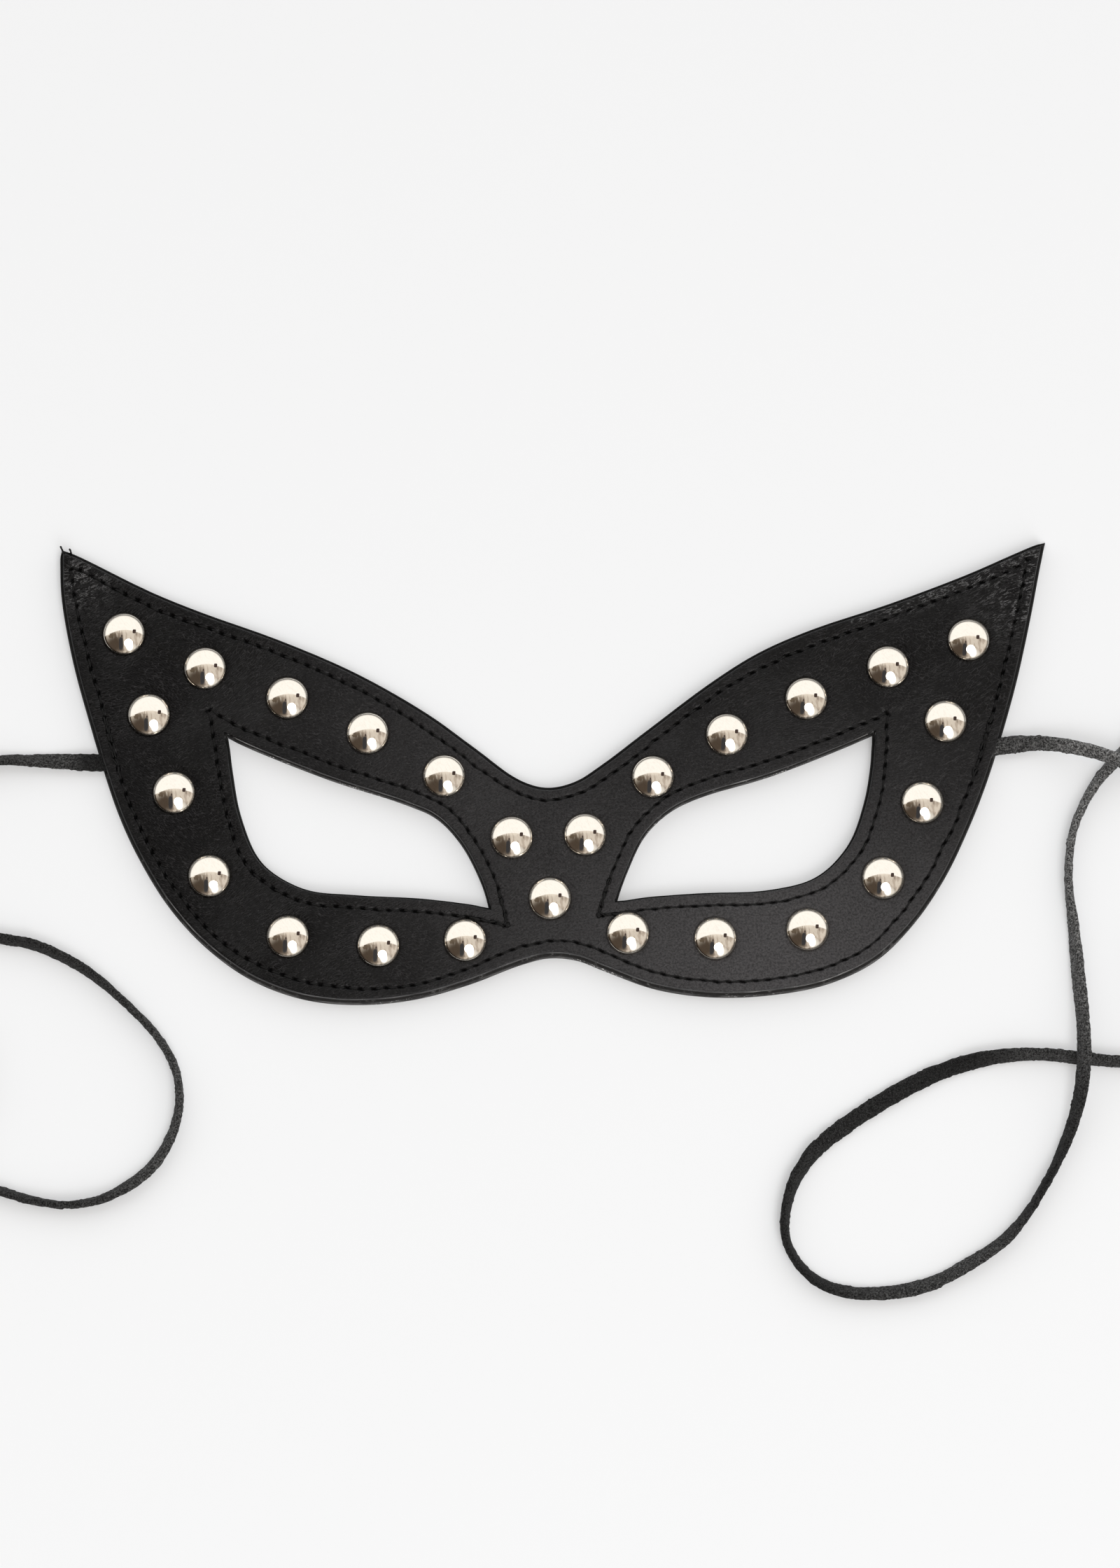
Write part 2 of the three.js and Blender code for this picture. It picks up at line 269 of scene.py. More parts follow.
def cad_loops(node):
    """The closed loops round the back face of a CAD layer: the outline first, then the holes."""
    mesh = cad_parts[node].data
    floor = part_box(node)[0].z
    places = [tuple(round(c, 7) for c in v.co) for v in mesh.vertices]
    edges = set()
    for face in mesh.polygons:
        corners = [places[i] for i in face.vertices]
        if all(abs(c[2] - floor) < 1e-6 for c in corners):
            edges.update(zip(corners, corners[1:] + corners[:1]))
    next_of = {a: b for a, b in edges if (b, a) not in edges}
    loops = []
    while next_of:
        loop, here = [], min(next_of)
        while here in next_of:
            loop.append(here[:2])
            here = next_of.pop(here)
        loops.append(np.array(loop))
    return sorted(loops, key=lambda loop: -abs(area_of(loop)))


def leather_on_left(loops):
    """The outline and holes, each turned round where it has the leather on its right."""
    return [
        loop if (area_of(loop) > 0) == (i == 0) else loop[::-1].copy()
        for i, loop in enumerate(loops)
    ]


def read_outlines():
    """The outline and the left and right eye openings, as fine loops."""
    outline, *holes = cad_loops("lining")
    holes.sort(key=lambda loop: loop[:, 0].mean())
    return leather_on_left([sharpened(catmull(loop, True, 6)) for loop in (outline, *holes)])


# ---- Meshes ----


def new_object(name, points, faces, material):
    mesh = bpy.data.meshes.new(name)
    mesh.from_pydata([tuple(p) for p in points], [], [tuple(f) for f in faces])
    mesh.validate()
    mesh.update()
    mesh.polygons.foreach_set("use_smooth", [True] * len(mesh.polygons))
    mesh.materials.append(material)
    obj = bpy.data.objects.new(name, mesh)
    bpy.context.scene.collection.objects.link(obj)
    return obj


def set_attribute(obj, name, values):
    layer = obj.data.attributes.new(name, "FLOAT", "POINT")
    layer.data.foreach_set("value", np.asarray(values, np.float32))


def read_places(items, key):
    """The places of a mesh's vertices or faces."""
    places = np.empty(len(items) * 3)
    items.foreach_get(key, places)
    return places.reshape(-1, 3)


def finish_piece(obj, slot, *nodes):
    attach(obj, BODY)
    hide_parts(*nodes)


def smooth_noise(points, size, seed):
    """Soft noise from about -1 to 1, as a sum of waves in different directions."""
    draw = random.Random(seed)
    total = np.zeros(len(points))
    waves = 7
    for _ in range(waves):
        angle = draw.uniform(0, 2 * math.pi)
        length = size * draw.uniform(0.7, 1.6)
        phase = draw.uniform(0, 2 * math.pi)
        along = points[:, 0] * math.cos(angle) + points[:, 1] * math.sin(angle)
        total += np.sin(2 * math.pi * along / length + phase)
    return total / math.sqrt(waves)


def tube(centres, ups, x, y):
    """Rings and faces of a closed tube. x and y are its section's points at each centre, and
    ups are the way to the section's top."""
    side, top = frames_along(centres, ups)
    rings = centres[:, None] + side[:, None] * x[..., None] + top[:, None] * y[..., None]
    count, sides = x.shape
    last = (count - 1) * sides
    faces = []
    for a in range(0, last, sides):
        for j in range(sides):
            k = (j + 1) % sides
            faces.append((a + j, a + k, a + sides + k, a + sides + j))
    return rings, faces + [tuple(range(sides))[::-1], tuple(range(last, last + sides))]


def join_meshes(parts):
    points, faces, start = [], [], 0
    for part_points, part_faces in parts:
        points.append(part_points)
        faces += [tuple(i + start for i in face) for face in part_faces]
        start += len(part_points)
    return np.vstack(points), faces


# ---- Materials ----


class Nodes:
    """The nodes of a material or a world, made and wired by short calls."""

    def __init__(self, name, owner=None):
        self.material = owner or bpy.data.materials.new(name)
        self.material.use_nodes = True
        self.tree = self.material.node_tree

    def feed(self, socket, value):
        if isinstance(value, bpy.types.NodeSocket):
            self.tree.links.new(value, socket)
        elif socket.type == "RGBA":
            socket.default_value = (*np.broadcast_to(value, 3), 1)  # a single number is a grey
        else:
            socket.default_value = value

    def add(self, kind, output, inputs=None, **settings):
        """Makes a node, sets or links its inputs, and gives one of its outputs."""
        node = self.tree.nodes.new("ShaderNode" + kind)
        for key, value in settings.items():
            setattr(node, key, value)
        for key, value in (inputs or {}).items():
            self.feed(node.inputs[key], value)
        return node.outputs[output]

    def place(self, scale=(1, 1, 1), turn=0.0, source=None):
        """Object coordinates, or a source, turned in the plane of the face and then scaled."""
        source = source or self.add("TexCoord", "Object")
        sizes = [1 / factor for factor in scale]
        inputs = {"Vector": source, "Rotation": (0, 0, turn), "Scale": sizes}
        return self.add("Mapping", "Vector", inputs, vector_type="TEXTURE")

    def noise(self, vector, scale, detail=2.0, rough=0.5, warp=0.0, output="Fac"):
        inputs = {"Vector": vector, "Scale": scale, "Detail": detail}
        return self.add("TexNoise", output, {**inputs, "Roughness": rough, "Distortion": warp})

    def warped(self, vector, scale, amount):
        """A vector pushed about by slow noise, so that lines drawn with it flow."""
        inputs = {0: self.noise(vector, scale, 1.0, output="Color"), 1: (amount, amount, 0), 2: vector}
        return self.add("VectorMath", 0, inputs, operation="MULTIPLY_ADD")

    def cells(self, vector, scale, feature="F1"):
        inputs = {"Vector": vector, "Scale": scale}
        return self.add("TexVoronoi", "Distance", inputs, feature=feature)

    def math(self, operation, a, b=0.0, clamp=False):
        return self.add("Math", 0, {0: a, 1: b}, operation=operation, use_clamp=clamp)

    def plus(self, a, b):
        return self.math("ADD", a, b)

    def times(self, a, b):
        return self.math("MULTIPLY", a, b)

    def ramp(self, value, low, high, out_low=0.0, out_high=1.0):
        """The value from low to high, smoothly spread from out_low to out_high."""
        inputs = {"Value": value, "From Min": low, "From Max": high}
        inputs.update({"To Min": out_low, "To Max": out_high})
        return self.add("MapRange", "Result", inputs, interpolation_type="SMOOTHSTEP")

    def lines(self, noise, width):
        """Thin lines where a noise passes its middle, from 1 to 0 over the width."""
        away = self.math("ABSOLUTE", self.math("SUBTRACT", noise, 0.5))
        return self.ramp(away, 0.0, width, 1.0, 0.0)

    def mix(self, factor, a, b):
        return self.add("Mix", 2, {0: factor, 6: a, 7: b}, data_type="RGBA")

    def blend(self, factor, a, b):
        return self.add("Mix", 0, {0: factor, 2: a, 3: b}, data_type="FLOAT")

    def attribute(self, name):
        return self.add("Attribute", "Fac", attribute_name=name)

    def bump(self, height, distance, strength=1.0, base=None):
        inputs = {"Height": height, "Distance": distance, "Strength": strength}
        return self.add("Bump", "Normal", {**inputs, "Normal": base} if base else inputs)

    def surface(self, color, rough, normal=None, **constants):
        sockets = self.tree.nodes["Principled BSDF"].inputs
        self.feed(sockets["Base Color"], color)
        self.feed(sockets["Roughness"], rough)
        if normal:
            self.feed(sockets["Normal"], normal)
        for key, value in constants.items():
            self.feed(sockets[key.replace("_", " ")], value)
        return self.material


def leather_face_material():
    """Black satin leather: fine drawn grain, faint creases at the tips and a little dust."""
    n = Nodes("front_leather_black")
    flat = n.place()
    flow = n.warped(n.warped(flat, 38, 12 * MM), 420, 0.5 * MM)
    drift = n.ramp(n.noise(flat, 45, 2, 0.5), 0.45, 0.55)
    rising = n.cells(n.place((900, 2500, 900), 0.5, flow), 1.0, "DISTANCE_TO_EDGE")
    falling = n.cells(n.place((950, 2700, 950), -0.4, flow), 1.0, "DISTANCE_TO_EDGE")
    net = n.blend(drift, rising, falling)
    lines = n.noise(n.place((1000, 2600, 1000), 0.1, flow), 1.0, 3, 0.55)
    # Painted highlight: the grain's lines are drawn lighter, for the light its wrinkles catch.
    grain_highlight = n.times(n.ramp(net, 0.0, 0.10, 1.0, 0.0), n.ramp(lines, 0.35, 0.65))
    height = n.plus(n.times(n.ramp(net, 0.0, 0.3), 0.4), lines)
    wrinkle = n.noise(n.place((420, 1900, 420), 0.42, flow), 1.0, 3, 0.6)
    broken = n.ramp(n.noise(flat, 600, 3, 0.6), 0.42, 0.54)
    crease = n.times(n.times(n.lines(wrinkle, 0.05), broken), n.attribute("creased"))
    speck = n.ramp(n.cells(flat, 300), 0.014, 0.03, 1.0, 0.0)
    dust = n.times(speck, n.ramp(n.noise(flat, 130, 1, 0.5), 0.60, 0.66))
    pebble = n.ramp(n.noise(flat, 2300, 4, 0.7), 0.36, 0.64)
    grey = n.mix(pebble, (0.032, 0.031, 0.0325), (0.074, 0.072, 0.0755))
    # Painted sheen: near black, going to grey where the leather would catch more light.
    tone = n.mix(n.attribute("painted_sheen"), (0.0006, 0.0005, 0.0007), grey)
    # The painted highlight's colour on the grain's lines, paler again where the sheen is painted.
    grain_highlight_tone = n.mix(n.attribute("painted_sheen"), (0.034, 0.033, 0.035), (0.07, 0.068, 0.071))
    tone = n.mix(n.times(grain_highlight, 0.8), tone, grain_highlight_tone)
    pull = n.noise(n.place((130, 1300, 130), 0.6, n.warped(flat, 60, 5 * MM)), 1.0, 2, 0.5)
    line = n.times(n.lines(pull, 0.03), n.attribute("drawn"))
    line = n.times(line, n.ramp(n.noise(flat, 260, 3, 0.6), 0.42, 0.62))
    for mark, strength, color in (
        (line, 0.7, (0.045, 0.044, 0.046)),
        # Painted highlight on the rims of the needle slots, on their sides up the page.
        (n.attribute("painted_lip_highlight"), 0.75, (0.075, 0.074, 0.077)),
        (crease, 0.8, (0.22, 0.22, 0.225)),
        (dust, 0.7, (0.40, 0.40, 0.38)),
        (n.attribute("worn"), 0.3, (0.05, 0.05, 0.052)),
    ):
        tone = n.mix(n.times(mark, strength), tone, color)
    # Painted shade: the colour is near black down in the needle slots.
    tone = n.mix(n.attribute("slot"), tone, 0.0003)
    satin = n.ramp(n.noise(flat, 300, 4, 0.6), 0.3, 0.7, 0.32, 0.42)
    rough = n.math("MAXIMUM", satin, n.attribute("slot"))
    normal = n.bump(crease, 0.14 * MM, 0.8, n.bump(height, 0.09 * MM))
    return n.surface(tone, rough, normal, Specular_IOR_Level=0.15)


def edge_paint_material():
    """Grey-black edge paint over cut leather: streaks along the edge and tiny bright crumbs, with
    painted light on the walls that face down the page.
    """
    n = Nodes("painted_edge")
    streak = n.noise(n.place((300, 300, 4200)), 1.0, 4, 0.6, 0.3)
    crumb = n.ramp(n.noise(n.place(), 2600, 2, 0.6), 0.66, 0.72)
    # Painted light: walls that face down the page are streaked grey with crumbs, and the others near
    # black.
    painted_lit_edge = n.attribute("painted_lit_edge")
    lit_edge_tone = n.mix(n.ramp(streak, 0.3, 0.7), (0.012, 0.012, 0.0123), (0.15, 0.15, 0.153))
    smear = n.ramp(n.noise(n.place((60, 60, 900)), 1.0, 2, 0.5), 0.60, 0.68)
    tone = n.mix(painted_lit_edge, (0.0012, 0.0012, 0.0013), lit_edge_tone)
    crumb = n.math("MAXIMUM", crumb, n.times(smear, n.ramp(streak, 0.45, 0.6)))
    tone = n.mix(n.times(crumb, painted_lit_edge), tone, 0.5)
    rough = n.ramp(streak, 0.3, 0.7, 0.4, 0.6)
    height = n.plus(streak, n.times(crumb, 0.8))
    return n.surface(tone, rough, n.bump(height, 0.08 * MM, 0.6), Specular_IOR_Level=0.12)


def lining_material():
    """Matt black lining leather with a coarser open grain."""
    n = Nodes("lining_leather")
    flat = n.place()
    pore = n.cells(flat, 1500)
    fibre = n.noise(n.place((900, 2200, 900), 0.8), 1.0, 4, 0.65, 0.8)
    tone = n.mix(fibre, 0.003, (0.014, 0.0135, 0.0135))
    streak = n.noise(n.place((250, 250, 3600)), 1.0, 3, 0.6, 0.3)
    lit_edge_tone = n.mix(n.ramp(streak, 0.3, 0.7), (0.02, 0.02, 0.0205), (0.15, 0.15, 0.152))
    smear = n.ramp(n.noise(n.place((70, 70, 900)), 1.0, 2, 0.5), 0.58, 0.66)
    crumb = n.ramp(n.noise(flat, 2400, 3, 0.7), 0.56, 0.62)
    lit_edge_tone = n.mix(n.times(smear, crumb), lit_edge_tone, 0.75)
    # Painted light: the cut edge that faces down the page is drawn grey, with crumbs.
    tone = n.mix(n.attribute("painted_lit_edge"), tone, lit_edge_tone)
    rough = n.ramp(fibre, 0.3, 0.7, 0.62, 0.8)
    height = n.plus(n.times(pore, 0.6), fibre)
    return n.surface(tone, rough, n.bump(height, 0.06 * MM, 0.6), Specular_IOR_Level=0.2)


def core_material():
    """Split leather board, with loose fibre at the cut edge."""
    n = Nodes("stiffener_board")
    fibre = n.noise(n.place((700, 700, 2600)), 1.0, 5, 0.7, 0.6)
    tone = n.mix(fibre, 0.004, (0.03, 0.029, 0.029))
    lit_edge_tone = n.mix(n.ramp(fibre, 0.55, 0.7), tone, (0.15, 0.15, 0.152))
    # Painted light: the cut edge that faces down the page shows grey fibre, and the rest is near
    # black.
    tone = n.mix(n.attribute("painted_lit_edge"), 0.0015, lit_edge_tone)
    rough = n.ramp(fibre, 0.3, 0.7, 0.6, 0.85)
    return n.surface(tone, rough, n.bump(fibre, 0.08 * MM, 0.7), Specular_IOR_Level=0.2)


def nickel_material():
    """Polished nickel plate with a faint warm tint, fine polishing marks and slight ripple."""
    n = Nodes("polished_nickel")
    flat = n.place()
    ripple = n.noise(flat, 420, 2, 0.5)
    haze = n.noise(n.place((3000, 900, 3000), 0.6), 1.0, 3, 0.6)
    tone = n.mix(n.ramp(haze, 0.4, 0.75), (0.86, 0.805, 0.725), (0.80, 0.745, 0.665))
    rough = n.ramp(haze, 0.35, 0.8, 0.02, 0.045)
    return n.surface(tone, rough, n.bump(ripple, 0.02 * MM, 0.12), Metallic=1.0)


def steel_material():
    """Plain plated steel, as on the hidden stud bases."""
    n = Nodes("plated_steel")
    haze = n.noise(n.place((2500, 800, 2500)), 1.0, 3, 0.6)
    tone = n.mix(haze, (0.42, 0.42, 0.41), (0.56, 0.56, 0.55))
    rough = n.ramp(haze, 0.3, 0.7, 0.28, 0.42)
    return n.surface(tone, rough, n.bump(haze, 0.02 * MM, 0.4), Metallic=1.0)


def thread_material():
    """Black bonded thread: twisted strands with a waxy gleam."""
    n = Nodes("black_thread")
    strand = n.noise(n.place((5200, 5200, 5200)), 1.0, 2, 0.5, 0.5)
    tone = n.mix(strand, (0.001, 0.001, 0.0011), (0.005, 0.005, 0.0053))
    rough = n.ramp(strand, 0.3, 0.7, 0.5, 0.75)
    return n.surface(tone, rough, n.bump(strand, 0.06 * MM, 0.7), Specular_IOR_Level=0.25)


def suede_material():
    """Charcoal faux suede: a short nap whose tips catch the light in specks."""
    n = Nodes("charcoal_suede")
    flat = n.place()
    nap = n.ramp(n.noise(flat, 2700, 3, 0.75), 0.40, 0.62)
    clump = n.noise(flat, 900, 2, 0.6)
    tip = n.ramp(n.cells(flat, 3000), 0.0, 0.28, 0.6, 0.0)
    dark = n.mix(nap, (0.001, 0.001, 0.0012), (0.020, 0.0205, 0.021))
    dark = n.mix(tip, dark, (0.22, 0.223, 0.225))
    pale = n.mix(nap, (0.03, 0.0303, 0.031), (0.40, 0.404, 0.406))
    pale = n.mix(tip, pale, (0.85, 0.855, 0.856))
    # Painted sheen: the lace is paler where its nap is drawn catching the light.
    tone = n.mix(n.attribute("painted_nap_sheen"), dark, pale)
    tone = n.mix(n.ramp(clump, 0.35, 0.65, 0.0, 0.3), tone, (0.012, 0.012, 0.0125))
    height = n.plus(nap, n.times(clump, 0.5))
    return n.surface(
        tone, 0.9, n.bump(height, 0.22 * MM, 0.9), Sheen_Weight=0.06, Specular_IOR_Level=0.2
    )


def floor_material():
    n = Nodes("pale_floor")
    soft = n.noise(n.place(), 6, 2, 0.5)
    tone = n.mix(soft, (0.668, 0.687, 0.713), (0.673, 0.692, 0.718))
    return n.surface(tone, 0.75, Emission_Strength=0.25, Emission_Color=1.0)


# ---- Laces ----

# The route of each lace, from its sewn root to its coil, and how far it is turned from lying
# flat, in degrees, at each point.
LEFT_ROUTE = [
    (-0.08, 0.0015, 0.0016, 0), (-0.086, 0.0017, 0.0016, 0), (-0.0926, 0.0019, 0.0016, 0),
    (-0.097, 0.0021, 0.0014, 18), (-0.1035, 0.0023, 0.001, 48), (-0.1105, 0.0023, 0.0009, 62),
    (-0.118, 0.0006, 0.0009, 69), (-0.1245, -0.0047, 0.001, 71), (-0.1278, -0.0118, 0.0011, 71),
    (-0.1276, -0.0198, 0.0011, 71), (-0.1238, -0.027, 0.0011, 71), (-0.1178, -0.0316, 0.001, 71),
    (-0.1098, -0.0334, 0.0009, 70), (-0.1033, -0.0346, 0.0009, 69), (-0.097, -0.0372, 0.001, 72),
    (-0.0912, -0.0407, 0.0011, 74), (-0.084, -0.0468, 0.0011, 90), (-0.0783, -0.0528, 0.0011, 90),
    (-0.0749, -0.0584, 0.0012, 84), (-0.0736, -0.0646, 0.0012, 84), (-0.0749, -0.072, 0.0012, 66),
    (-0.0792, -0.079, 0.0011, 58), (-0.085, -0.0833, 0.001, 64), (-0.0904, -0.0855, 0.0009, 79),
    (-0.0963, -0.0862, 0.0009, 90), (-0.1028, -0.0852, 0.0009, 79), (-0.109, -0.0834, 0.0009, 74),
    (-0.1158, -0.0817, 0.0011, 76), (-0.1223, -0.081, 0.0014, 78),
]
RIGHT_ROUTE = [
    (0.0795, 0.0038, 0.0016, 0), (0.085, 0.0045, 0.0016, 0), (0.0915, 0.0054, 0.0016, 0),
    (0.0973, 0.0057, 0.0022, 44), (0.1044, 0.0046, 0.0034, 56), (0.109, 0.0033, 0.004, 62),
    (0.113, 0.0018, 0.0039, 57), (0.1185, -0.0005, 0.0024, 60), (0.125, -0.0024, 0.0011, 65),
    (0.1306, -0.0008, 0.0009, 70), (0.1336, 0.004, 0.0009, 74), (0.1323, 0.0098, 0.001, 75),
    (0.127, 0.0134, 0.0011, 75), (0.1208, 0.0118, 0.0011, 76), (0.116, 0.0066, 0.001, 80),
    (0.1122, 0.002, 0.0009, 55), (0.1082, -0.0028, 0.0009, 72), (0.1039, -0.0118, 0.001, 90),
    (0.1028, -0.0216, 0.0011, 90), (0.1037, -0.0315, 0.0012, 70), (0.1045, -0.042, 0.0022, 53),
    (0.105, -0.0505, 0.0034, 56), (0.105, -0.0573, 0.004, 49), (0.1042, -0.0645, 0.0034, 54),
    (0.102, -0.0724, 0.002, 64), (0.097, -0.0826, 0.001, 84), (0.0902, -0.092, 0.001, 66),
    (0.082, -0.0978, 0.0011, 53), (0.0745, -0.1016, 0.0011, 47), (0.0675, -0.1032, 0.0011, 49),
    (0.0605, -0.1035, 0.0011, 53), (0.0538, -0.102, 0.0011, 60), (0.0489, -0.0982, 0.0012, 72),
    (0.046, -0.0924, 0.0012, 77), (0.047, -0.0836, 0.0011, 61), (0.0513, -0.0762, 0.001, 38),
    (0.0588, -0.07, 0.0009, 12), (0.068, -0.0642, 0.0009, 0), (0.0771, -0.0598, 0.0009, 10),
    (0.0865, -0.0572, 0.0009, 43), (0.0956, -0.0564, 0.0009, 58), (0.1046, -0.0572, 0.0009, 58),
    (0.1126, -0.058, 0.0009, 65), (0.1194, -0.0584, 0.0011, 73), (0.1272, -0.0585, 0.0014, 78),
]
# Painted sheen: how pale each lace's nap is drawn, from 0 to 1, at lengths along it, where the nap
# stands up and catches the light.
LEFT_NAP_SHEEN = [
    (0, 0.0), (0.013, 0.0), (0.017, 0.3), (0.03, 0.15), (0.09, 0.06), (0.115, 0.13),
    (0.131, 0.36), (0.155, 0.33), (0.166, 0.14), (0.19, 0.1), (0.5, 0.25),
]
RIGHT_NAP_SHEEN = [
    (0, 0.3), (0.018, 0.45), (0.025, 1.0), (0.105, 1.0), (0.117, 0.95), (0.127, 0.79),
    (0.137, 0.67), (0.146, 0.52), (0.16, 0.12), (0.18, 0.0), (0.201, 0.3), (0.224, 0.18),
    (0.232, 0.0), (0.27, 0.05), (0.3, 0.0), (0.31, 0.2), (0.5, 0.25),
]
COIL_STEPS = 36  # points in each turn
LACE_RING_STEP = 0.42 * MM
LACE_SIDES = 20
LACE_SQUARENESS = 2.5  # 2 would be an oval section
CROSSING_HEIGHT = 2.5 * MM  # a strand's middle is higher than this only where it crosses another
CROSSING_GAP = 0.1 * MM
HUMP_LENGTH = 9 * MM
NAP_LENGTH = 0.05 * MM
LACE_CLEARANCE = 0.04 * MM  # over the table
ROOT_LENGTH = 11 * MM       # the sewn end, which is pressed thinner


def coil_points(centre, start, way, left):
    """The turns of the length that is left, standing on edge, from the bottom of the ring in."""
    turns = left / (2 * math.pi * COIL_RADIUS)
    outer = COIL_RADIUS + turns * COIL_PITCH / 2
    points = []
    for i in range(int(turns * COIL_STEPS) + 2):
        done = i / COIL_STEPS
        radius = outer - COIL_PITCH * done
        angle = -math.pi / 2 + way * 2 * math.pi * done
        x, y = radius * math.cos(angle), radius * math.sin(angle)
        points.append((centre.x + x, start[1] + outer + y, LACE_WIDTH / 2, 90))
    return points


def lace_line(route, node, way):
    """Centres and turn angles along a whole lace, cut to its length."""
    low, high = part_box(node)
    centre = (low + high) / 2  # of the coil
    free = lengths_along(catmull(np.array(route)[:, :3], False, 8))[-1]
    lead = abs(centre.x - route[-1][0])
    coil = coil_points(centre, route[-1], way, LACE_LENGTH - free - lead)
    points = np.array(route + coil) * (1, 1, 1, 1e-6)  # the angle mustn't count as length
    fine = catmull(points, False, 10) * (1, 1, 1, 1e6)
    wanted = np.arange(0, LACE_LENGTH, LACE_RING_STEP)
    return sampled(fine, lengths_along(fine[:, :3]), wanted)


def cleared(centres, reach):
    """The centres again, with the upper strand in a low hump over the lower at each crossing."""
    at = np.arange(len(centres)) * LACE_RING_STEP
    lift = np.zeros(len(centres))
    for i in np.flatnonzero(centres[:, 2] > CROSSING_HEIGHT):
        beside = np.linalg.norm(centres[:, :2] - centres[i, :2], axis=1) < LACE_WIDTH * 0.8
        below = beside & (np.abs(at - at[i]) > HUMP_LENGTH) & (centres[:, 2] < centres[i, 2])
        if below.any():
            need = (centres[below, 2] + reach[below]).max() + reach[i] + CROSSING_GAP
            lift = np.maximum(lift, (need - centres[i, 2]) * bell(at - at[i], HUMP_LENGTH))
    return centres + np.outer(lift, (0, 0, 1))


def lace_object(side, route, nap, way, seed, material):
    line = lace_line(route, f"{side}_lace_coil", way)
    centres, turn = line[:, :3].copy(), np.radians(line[:, 3])
    half_w, half_t = LACE_WIDTH / 2, LACE_THICKNESS / 2
    reach = np.sqrt((half_w * np.sin(turn)) ** 2 + (half_t * np.cos(turn)) ** 2)
    centres[:, 2] = np.maximum(centres[:, 2], reach + LACE_CLEARANCE)
    centres = cleared(centres, reach)
    across, up = frames_along(centres, (0, 0, 1.0))
    lean = up * np.cos(turn)[:, None] + across * np.sin(turn)[:, None]
    at = np.arange(len(centres)) * LACE_RING_STEP
    thick = half_t * (0.8 + 0.2 * np.clip((at - ROOT_LENGTH) / (4 * MM), 0, 1))
    width = half_w * (1 + 0.035 * smooth_noise(np.stack([at, at], 1), 9 * MM, seed))
    section = circle(LACE_SIDES)
    x, y = (np.sign(section) * np.abs(section) ** (2 / LACE_SQUARENESS)).T
    rings, faces = tube(centres, lean, width[:, None] * x, thick[:, None] * y)
    draw = np.random.default_rng(seed)
    fuzz = draw.normal(0, NAP_LENGTH, rings.shape[:2])
    clump = draw.normal(0, NAP_LENGTH, (len(centres) // 3 + 2, LACE_SIDES // 2))
    clump = np.repeat(np.repeat(clump, 3, 0), 2, 1)[: len(centres), :LACE_SIDES]
    rings = rings + unit(rings - centres[:, None]) * (fuzz + clump)[..., None]
    rings[..., 2] = np.maximum(rings[..., 2], 0.02 * MM)
    lace = new_object(f"{side}_suede_lace", rings.reshape(-1, 3), faces, material)
    # Painted sheen along the lace.
    set_attribute(lace, "painted_nap_sheen", np.repeat(np.interp(at, *zip(*nap)), LACE_SIDES))
    finish_piece(lace, "lace_suede", f"{side}_lace", f"{side}_lace_coil")


def make_laces():
    suede = suede_material()
    lace_object("left", LEFT_ROUTE, LEFT_NAP_SHEEN, -1, 3, suede)
    lace_object("right", RIGHT_ROUTE, RIGHT_NAP_SHEEN, 1, 5, suede)


# ---- The panel ----


def stud_nodes():
    return sorted(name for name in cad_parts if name.startswith("stud_cap_"))


def stud_centres():
    return np.array([((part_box(name)[0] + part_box(name)[1]) / 2)[:2] for name in stud_nodes()])


FLARE = [inset / FRONT_INSETS[0] for inset in FRONT_INSETS]  # how far each edge slopes out
EDGE_DROP_RADIUS = 0.26 * MM
SWAY = 0.05 * MM            # slow rise and fall of the face
SWAY_SIZE = 34 * MM
GROOVE_DEPTH = 0.07 * MM
GROOVE_HALF_WIDTH = 0.30 * MM
HOLE_DEPTH = 0.72 * MM
HOLE_HALF_SIZE = np.array([0.70, 0.25]) * MM  # along and across a needle slot
HOLE_SCATTER = 0.06 * MM
SLOT_TURN = math.radians(-9)  # each needle slot lies a little across the seam
POST_HOLE_RADIUS = 1.6 * MM
NO_POINTS = np.empty((0, 2))


def patch(xy, middle, size):
    """A soft oval from 1 to 0, with its middle and size in millimetres."""
    return np.exp(-(((xy / MM - middle) / size) ** 2).sum(1))


def sway(xy):
    return SWAY * smooth_noise(xy, SWAY_SIZE, 1)


class Seam:
    """A run of lockstitches: its line, and the places, ways and sizes of its needle slots."""

    def __init__(self, edge, inset, wander, seed):
        line = moved_in(edge, inset, FINE_STEP)
        aside = smooth_noise(line, 40 * MM, seed) * wander
        aside += smooth_noise(line, 12 * MM, seed + 1) * 0.05 * MM
        self.line = line + normals(line) * aside[:, None]
        self.holes = evenly(self.line, STITCH, closed=True)
        draw = np.random.default_rng(seed)
        self.holes += draw.normal(0, HOLE_SCATTER, self.holes.shape)
        ways = tangents(self.holes)
        turn = SLOT_TURN + draw.normal(0, 0.06, (len(ways), 1))
        self.ways = ways * np.cos(turn) + turn_left(ways) * np.sin(turn)
        self.slots = draw.uniform((0.80, 0.78), (1.15, 1.08), (len(ways), 2))

    def beside(self, offsets):
        """Rows of points along the seam, at offsets in millimetres."""
        line = self.line[::4]
        side = normals(line)
        return [line + side * offset * MM for offset in offsets]


